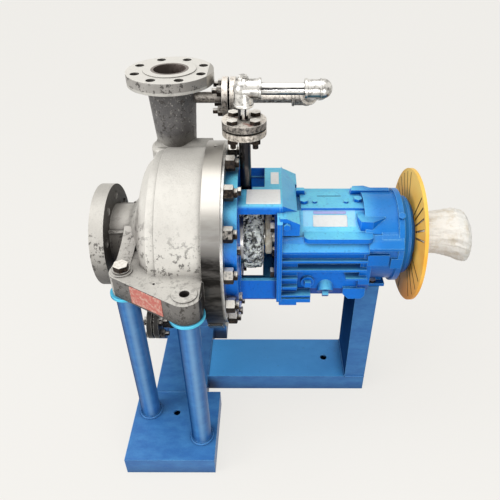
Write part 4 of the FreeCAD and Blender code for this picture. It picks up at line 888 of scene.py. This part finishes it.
def join_rings(draft, rings, closed_round=True, closed_along=False):
    """Quads between neighbouring rings of points, each ring the same length."""
    loops = [[draft.verts.new(point) for point in ring] for ring in rings]
    count = len(loops[0])
    pairs = list(zip(loops, loops[1:]))
    if closed_along:
        pairs.append((loops[-1], loops[0]))
    for first, second in pairs:
        for k in range(count if closed_round else count - 1):
            after = (k + 1) % count
            draft.faces.new((first[k], first[after], second[after], second[k]))
    return loops


def frame_of(axis):
    """Two unit directions square to axis."""
    axis = Vector(axis).normalized()
    side = axis.orthogonal().normalized()
    return axis, side, axis.cross(side)


def circle_of(centre, side, up, reach, steps):
    """Points of a circle round centre, in the plane of side and up."""
    angles = [2 * pi * k / steps for k in range(steps)]
    return [centre + (side * cos(a) + up * sin(a)) * reach for a in angles]


def close_ends(draft, loops):
    """One face over the last ring of points and one over the first."""
    draft.faces.new(loops[-1])
    draft.faces.new(list(reversed(loops[0])))


def around_shaft(x, radius, degrees):
    """Point at an angle about the shaft, from the top towards the near side."""
    angle = radians(degrees)
    return Vector((x, -radius * sin(angle), shaft_height + radius * cos(angle)))


print("mesh helpers ready, shaft at", shaft_height, "m")


# %% [markdown]
# Nuts and studs
#
# A real nut has a chamfer turned on both ends, which cuts its corners into curves. Here each ring
# of points follows the hexagon, and its height follows the cone of that chamfer. The studs end in
# turned threads with a small lead-in.

# %% Chamfered nuts and threaded ends
chamfer_share = 0.472
chamfer_slope = 0.55
root_share, lead_share, tip_share = 0.935, 0.97, 0.84


def hexagon_reach(angle, flats):
    """Distance from the middle of a hexagon to its side, at an angle from the middle of a flat."""
    turned = (angle + pi / 6) % (pi / 3) - pi / 6
    return flats / 2 / cos(turned)


def add_nut(draft, base, axis, flats, thick, hole, spin):
    axis, side, up = frame_of(axis)
    steps = 48
    turn = flats * chamfer_share
    recipe = ((hole, None, 0.0), (turn, None, 0.0), (None, 1, 0.0), (None, -1, thick), (turn, None, thick),
              (hole + 0.0008, None, thick), (hole, None, thick - 0.0008))
    rings = []
    for radius, sign, height in recipe:
        ring = []
        for k in range(steps):
            angle = 2 * pi * k / steps
            reach = hexagon_reach(angle, flats) if radius is None else radius
            lift = height if sign is None else height + sign * (reach - turn) * chamfer_slope
            turned = angle + spin
            ring.append(base + axis * lift + (side * cos(turned) + up * sin(turned)) * reach)
        rings.append(ring)
    join_rings(draft, rings, closed_along=True)


def add_thread(draft, base, axis, radius, length, pitch):
    """Threaded rod end: crests and roots in turn, with a chamfered tip."""
    axis, side, up = frame_of(axis)
    steps = 28
    stations = [(0.0, radius)]
    height = 0.0
    while height + pitch < length - pitch * 0.6:
        stations += [(height + pitch * 0.5, radius * root_share), (height + pitch, radius)]
        height += pitch
    stations += [(length - pitch * 0.5, radius * lead_share), (length, radius * tip_share)]
    rings = [circle_of(base + axis * lift, side, up, reach, steps) for lift, reach in stations]
    close_ends(draft, join_rings(draft, rings))


stud_circle = 0.207
cover_face_x = 0.005
nut_flats = 0.032
nut_thick = 0.022
stud_radius = 0.010
stud_count = 14
first_stud = 4.3
thread_length, thread_pitch = 0.0095, 0.0022

nut_mesh = bmesh.new()
thread_mesh = bmesh.new()
for index in range(stud_count):
    degrees = first_stud + 360.0 * index / stud_count
    seat = around_shaft(cover_face_x, stud_circle, degrees)
    add_nut(nut_mesh, seat, (1, 0, 0), nut_flats, nut_thick, stud_radius + 0.0003, 0.9 * index)
    tip = around_shaft(cover_face_x + nut_thick - 0.001, stud_circle, degrees)
    add_thread(thread_mesh, tip, (1, 0, 0), stud_radius + 0.0007, thread_length, thread_pitch)
chamfered_nuts = make_piece("chamfered_casing_nuts", nut_mesh)
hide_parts("casing_nuts")
make_piece("casing_stud_threads", thread_mesh)

# %% [markdown]
# Film round the seal
#
# Crushed film is a thin sheet with sharp ridges and flat facets between them. The sheet starts as
# a turned profile round the gland, and ridged noise pushes it in and out. A gap is left for the
# riser. The foam strip beside it and the cloth over the coupling start the same way.

# %% Wrapped film
def ridged(point, octaves=3):
    """Noise with sharp crests, from 0 to about 1."""
    total = 0.0
    share = 0.55
    for octave in range(octaves):
        total += share * (1.0 - abs(noise.noise(point * (2.1 ** octave) + Vector((7.3, 1.9, 4.1)) * octave)))
        share *= 0.5
    return total


def along_profile(profile, share):
    """Point on a polyline of (x, value...) at a share of its length."""
    lengths = [0.0]
    for first, second in zip(profile, profile[1:]):
        lengths.append(lengths[-1] + dist(first, second))
    target = share * lengths[-1]
    for index in range(len(profile) - 1):
        if target <= lengths[index + 1] + 1e-9:
            inside = (target - lengths[index]) / (lengths[index + 1] - lengths[index])
            first, second = profile[index], profile[index + 1]
            return [a + (b - a) * inside for a, b in zip(first, second)]
    return list(profile[-1])


riser_x, riser_gap = 0.049, 0.0185
film_end_radius = 0.076
film_push, film_ridges = 0.0105, 46.0
fine_push, fine_ridges = 0.0028, 120.0


def wrap_film():
    profile = [(0.0425, 0.0800), (0.0560, 0.0825), (0.0700, 0.0830), (0.0850, 0.0800), (0.0902, 0.0700),
               (0.0905, 0.0500), (0.0905, 0.0310)]
    rounds = 260
    steps = 80
    rings = []
    for step in range(steps):
        x, radius = along_profile(profile, step / (steps - 1))
        ring = []
        for k in range(rounds):
            degrees = 360.0 * k / rounds
            flat = around_shaft(x, radius, degrees)
            push = film_push * (ridged(flat * film_ridges) - 0.62)
            push += fine_push * (ridged(flat * fine_ridges, 2) - 0.5)
            if radius < film_end_radius:
                ring.append(around_shaft(x + max(push * 0.35, -0.0012), radius, degrees))
            else:
                ring.append(around_shaft(x, max(radius + push, film_end_radius + 0.0008), degrees))
        rings.append(ring)
    sheet = bmesh.new()
    join_rings(sheet, rings)
    near_riser = [v for v in sheet.verts
                  if hypot(v.co.x - riser_x, v.co.y) < riser_gap and v.co.z > shaft_height + 0.05]
    bmesh.ops.delete(sheet, geom=near_riser, context="VERTS")
    return make_piece("crushed_film_wrap", sheet, slot="packing_film", smooth_angle=16.0)


film = wrap_film()
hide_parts("seal_film")


# %% [markdown]
# Foam strip
#
# A strip of packing foam is rolled round the sleeve beside the film. It could be a simulated
# cushion, but its section is small and stiff, so a soft square is turned round the shaft instead.
# Slow noise swells the strip, and ridged noise dents its outer side.

# %% Foam strip
foam_x, foam_half_width = 0.103, 0.0086
foam_radius, foam_half_height = 0.0393, 0.0108
squareness = 0.55


def soft_square(angle):
    """Point on a square with rounded corners, at an angle round its middle."""
    return [copysign(abs(part) ** squareness, part) for part in (cos(angle), sin(angle))]


def roll_foam():
    rounds = 160
    section = 28
    rings = []
    for k in range(rounds):
        degrees = 360.0 * k / rounds
        bulge = 1.0 + 0.10 * noise.noise(Vector((cos(radians(degrees)) * 2.2, 3.0,
                                                 sin(radians(degrees)) * 2.2)))
        ring = []
        for step in range(section):
            wide, tall = soft_square(2 * pi * step / section)
            x = foam_x + foam_half_width * wide
            radius = foam_radius + foam_half_height * tall * (bulge if tall > 0 else 1.0)
            place = around_shaft(x, radius, degrees)
            dent = 0.0012 * (ridged(place * 60.0) - 0.6) if tall > 0.1 else 0.0
            ring.append(around_shaft(x + dent, radius + dent, degrees))
        rings.append(ring)
    pad = bmesh.new()
    join_rings(pad, rings, closed_along=True)
    return make_piece("rolled_foam_strip", pad, body="rotor", slot="packing_foam")


foam = roll_foam()
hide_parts("shaft_foam")

# %% [markdown]
# Cloth over the coupling
#
# The cloth is drawn over the hub and gathered in at the shaft. Pleats run along it: they are deep
# where it is gathered and open out over the hub, and the blunt end sags below the axis.

# %% Cloth bundle
# Place along the shaft, lift of the middle and radius
cloth_stations = [
    (0.4745, 0.0000, 0.0270), (0.4755, 0.0000, 0.0400), (0.4800, 0.0020, 0.0445), (0.4940, 0.0080, 0.0490),
    (0.5080, 0.0075, 0.0495), (0.5320, 0.0070, 0.0525), (0.5620, 0.0060, 0.0585), (0.5850, -0.0040, 0.0605),
    (0.5980, -0.0140, 0.0540), (0.6045, -0.0260, 0.0420), (0.6060, -0.0300, 0.0300),
    (0.6050, -0.0300, 0.0150), (0.6040, -0.0300, 0.0015)]
gather_x, gather_length = 0.480, 0.040
seam_start, seam_turn, seam_lift = 150.0, 374.0, 0.0022
pleat_depth, gather_depth, crease_depth = 0.0064, 0.0060, 0.0044
hub_radius = 0.055


def wrap_cloth():
    rounds = 250
    steps = 120
    rings = []
    for step in range(steps):
        x, drop, radius = along_profile(cloth_stations, step / (steps - 1))
        gather = max(0.0, 1.0 - abs(x - gather_x) / gather_length)
        ring = []
        for k in range(rounds + 1):
            angle = radians(seam_start + seam_turn * k / rounds)
            tall, near = cos(angle), sin(angle)
            pleat = ridged(Vector((tall * 3.1, near * 3.1, x * 9.0))) - 0.66
            crease = ridged(Vector((tall * 1.5, near * 1.5, x * 38.0 + near)) * 1.6, 2) - 0.5
            push = pleat * (pleat_depth + gather_depth * gather)
            push = push + crease * crease_depth + seam_lift * k / rounds
            reach = max(radius * (1.0 + push / hub_radius), 0.001)
            ring.append(Vector((x + crease * 0.0012, -reach * near, shaft_height + drop + reach * tall)))
        rings.append(ring)
    sheet = bmesh.new()
    join_rings(sheet, rings, closed_round=False)
    return make_piece("gathered_cloth", sheet, body="rotor", slot="packing_cloth", smooth_angle=60.0)


cloth = wrap_cloth()
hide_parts("shaft_wrap")

# %% [markdown]
# Plates and tag
#
# The bare plates are thin sheet with softened corners, held by small round rivets. The red tag lies
# on the sloped side of the near lug. None of them carries any wording.

# %% Plates, rivets and the tag
def plate_finish(name, colour, roughness, metallic, wear=(0.35, 0.33, 0.30), amount=0.3):
    material, _, into, where = new_finish(name, roughness, metallic)
    wear_and_highlight = noise_of(where, 130.0, 6.0, 0.7)
    link(blend(times(ramp(wear_and_highlight, 0.48, 0.64), amount), colour, wear),
         into["Base Color"])
    add_bump(into, wear_and_highlight, 0.0002)
    return material


def add_plate(draft, centre, along, across, length, width, thick=0.0010, corner=0.0022):
    """Rounded flat plate lying on its seat, with a narrow bevel round its upper face."""
    out = along.cross(across)
    if out.z < 0.0 or (abs(out.z) < 0.05 and out.y > 0.0):
        out = -out
    rings = []
    for lift, inset in ((0.0, 0.0), (thick * 0.7, 0.0), (thick, thick * 0.4)):
        ring = []
        for sign_a, sign_b, start in ((1, 1, 0), (-1, 1, 90), (-1, -1, 180), (1, -1, 270)):
            for part in range(5):
                angle = radians(start + 22.5 * part)
                a = sign_a * (length / 2 - corner) + (corner - inset) * cos(angle)
                b = sign_b * (width / 2 - corner) + (corner - inset) * sin(angle)
                ring.append(centre + along * a + across * b + out * lift)
        rings.append(ring)
    close_ends(draft, join_rings(draft, rings))
    return out


def add_rivets(draft, centre, along, across, out, length, width, inset=0.004, radius=0.0015):
    for sign_a in (-1, 1):
        for sign_b in (-1, 1):
            base = centre + along * sign_a * (length / 2 - inset) + across * sign_b * (width / 2 - inset)
            rings = [circle_of(base + out * (0.001 + lift * radius), along, across, radius * share, 12)
                     for lift, share in ((0.0, 1.0), (0.45, 0.9), (0.8, 0.6), (0.95, 0.2))]
            close_ends(draft, join_rings(draft, rings))


bare_plate = plate_finish("bare_plate", (0.95, 0.95, 0.93), 0.40, 0.15, amount=0.08)
soft_plate = plate_finish("satin_plate", (0.66, 0.67, 0.66), 0.45, 0.15, amount=0.10)
lilac_plate = plate_finish("lilac_strip", (0.36, 0.38, 0.70), 0.5, 0.1)
red_plate = plate_finish("red_tag", (0.50, 0.135, 0.105), 0.45, 0.2, (0.62, 0.42, 0.34), 0.85)
roof_rise = 0.1405
facet_across = (0.0, -0.048, -0.0295)
lug_along = (0.8587, -0.5124, 0.0)
along_x, along_y, along_z = Vector((1, 0, 0)), Vector((0, 1, 0)), Vector((0, 0, 1))
plates = (
    ("roof_plate", bare_plate, (0.0907, -0.0535, roof_rise), along_x, along_y, 0.078, 0.064, True),
    ("small_roof_plate", bare_plate, (0.1175, 0.0340, roof_rise), along_x, along_y, 0.0195, 0.058, True),
    ("name_plate", soft_plate, (0.2470, -0.0612, 0.0795), along_x, facet_across, 0.080, 0.0300, True),
    ("name_strip", lilac_plate, (0.2465, -0.0428, 0.0908), along_x, facet_across, 0.077, 0.0065, False),
    ("lug_tag", red_plate, (-0.1565, -0.2627, 0.0085), lug_along, along_z, 0.088, 0.046, False),
)
for name, material, (x, y, rise), along, across, length, width, riveted in plates:
    centre = Vector((x, y, shaft_height + rise))
    along, across = Vector(along).normalized(), Vector(across).normalized()
    plate_mesh = bmesh.new()
    outward = add_plate(plate_mesh, centre, along, across, length, width)
    if riveted:
        add_rivets(plate_mesh, centre, along, across, outward, length, width)
    make_piece(name, plate_mesh, material, slot="machined_steel")

# %% [markdown]
# Weld beads
#
# The stand is welded from box beams and tubes. A hand-laid bead is a row of overlapping scales, so
# its radius ripples along its length.

# %% Weld beads
scale_pitch, bead_step = 0.0042, 0.0011


def add_bead(draft, start, end, radius):
    start, end = Vector(start), Vector(end)
    _, side, up = frame_of(end - start)
    length = (end - start).length
    steps = max(8, int(length / bead_step))
    rings = []
    for step in range(steps + 1):
        share = step / steps
        place = start.lerp(end, share)
        ripple = 0.86 + 0.14 * abs(sin(share * length / scale_pitch * pi))
        wander = 1.0 + 0.10 * noise.noise(place * 60.0)
        reach = radius * ripple * wander * (0.55 if step in (0, steps) else 1.0)
        rings.append(circle_of(place, side, up, reach, 10))
    close_ends(draft, join_rings(draft, rings))


def add_round_bead(draft, centre, ring_radius, radius):
    """Welder's bead in a circle round an upright tube."""
    steps = 150
    rings = []
    for step in range(steps):
        angle = 2 * pi * step / steps
        ripple = 0.84 + 0.16 * abs(sin(angle * 21.0))
        out = Vector((cos(angle), sin(angle), 0.0))
        rings.append(circle_of(centre + out * ring_radius, out, along_z, radius * ripple, 10))
    join_rings(draft, rings, closed_along=True)


beam_top, beam_half = 0.0558, 0.0737
cross_top, cross_half = beam_top - 0.0012, 0.1305
post_x0, post_x1 = 0.327, 0.384
leg_places = ((-0.072, -0.271, 0.035), (-0.220, -0.192, 0.030),
              (-0.072, 0.271, 0.035), (-0.220, 0.192, 0.030))
leg_radius, pad_top = 0.025, 0.0572
beam_bead, cross_bead, leg_bead = 0.0034, 0.0030, 0.0036
bead_mesh = bmesh.new()
for first, second in (((post_x0, -beam_half), (post_x0, beam_half)),
                      ((post_x0, -beam_half), (post_x1, -beam_half)),
                      ((post_x0, beam_half), (post_x1, beam_half))):
    add_bead(bead_mesh, (*first, beam_top), (*second, beam_top), beam_bead)
for first, second in (((-0.216, -cross_half), (-0.077, -cross_half)),
                      ((-0.216, cross_half), (-0.077, cross_half)), ((-0.075, -0.072), (-0.075, 0.072))):
    add_bead(bead_mesh, (*first, cross_top), (*second, cross_top), cross_bead)
for x, y, cap_radius in leg_places:
    add_round_bead(bead_mesh, Vector((x, y, pad_top)), leg_radius + 0.0028, leg_bead)
make_piece("weld_beads", bead_mesh, slot="stand_paint")

# %% [markdown]
# Rims of the bearing discs
#
# A disc sits on each leg under the lug, and its painted rim stands a little proud. The rim is a
# short ring with soft edges, drawn round the disc.

# %% Disc rims
cap_low_z, cap_high_z = shaft_height - 0.029, shaft_height - 0.020
rim_section = ((0.0, cap_low_z + 0.0006), (0.0040, cap_low_z + 0.0006), (0.0048, cap_low_z + 0.0016),
               (0.0048, cap_high_z - 0.0014), (0.0038, cap_high_z - 0.0004), (0.0, cap_high_z - 0.0004))
rim_mesh = bmesh.new()
for x, y, cap_radius in leg_places:
    rings = [circle_of(Vector((x, y, z)), along_x, along_y, cap_radius + out, 72) for out, z in rim_section]
    join_rings(rim_mesh, rings, closed_along=True)
make_piece("cap_rims", rim_mesh, slot="stand_paint")

# %% [markdown]
# Bands on the flush fittings
#
# Forged socket fittings have a thicker band round each mouth. Each band is a short ring with soft
# edges, drawn round the pipe that enters there.

# %% Fitting bands
def add_band(draft, centre, axis, inner, outer, width):
    axis, side, up = frame_of(axis)
    soft = 0.0009
    section = ((-width / 2, inner), (-width / 2, outer - soft), (-width / 2 + soft, outer),
               (width / 2 - soft, outer), (width / 2, outer - soft), (width / 2, inner))
    rings = [circle_of(centre + axis * along, side, up, reach, 48) for along, reach in section]
    join_rings(draft, rings, closed_along=True)


discharge_height = 0.360
back_elbow_x, front_elbow_x, discharge_y = 0.196, 0.216, 0.172
front_z = shaft_height + discharge_height + 0.0117
back_z = shaft_height + discharge_height - 0.070
back_corner = Vector((back_elbow_x, discharge_y, back_z))
front_corner = Vector((front_elbow_x, 0.0, front_z))
heading = (front_corner - back_corner).normalized()
band_lip, band_width = 0.0022, 0.0062
band_mesh = bmesh.new()
for centre, axis, inner in (
        (Vector((riser_x + 0.035, 0, front_z)), along_x, 0.0205),
        (Vector((riser_x, 0, front_z - 0.034)), along_z, 0.0196),
        (front_corner - along_x * 0.035, along_x, 0.0190), (back_corner - along_x * 0.033, along_x, 0.0190),
        (back_corner + heading * 0.031, heading, 0.0190), (front_corner - heading * 0.031, heading, 0.0190)):
    add_band(band_mesh, centre, axis, inner - 0.0005, inner + band_lip, band_width)
add_band(band_mesh, front_corner - along_x * 0.004, along_x, 0.0200, 0.0216, 0.0030)
make_piece("fitting_bands", band_mesh, special["flush_elbows"], slot="bright_pipe")
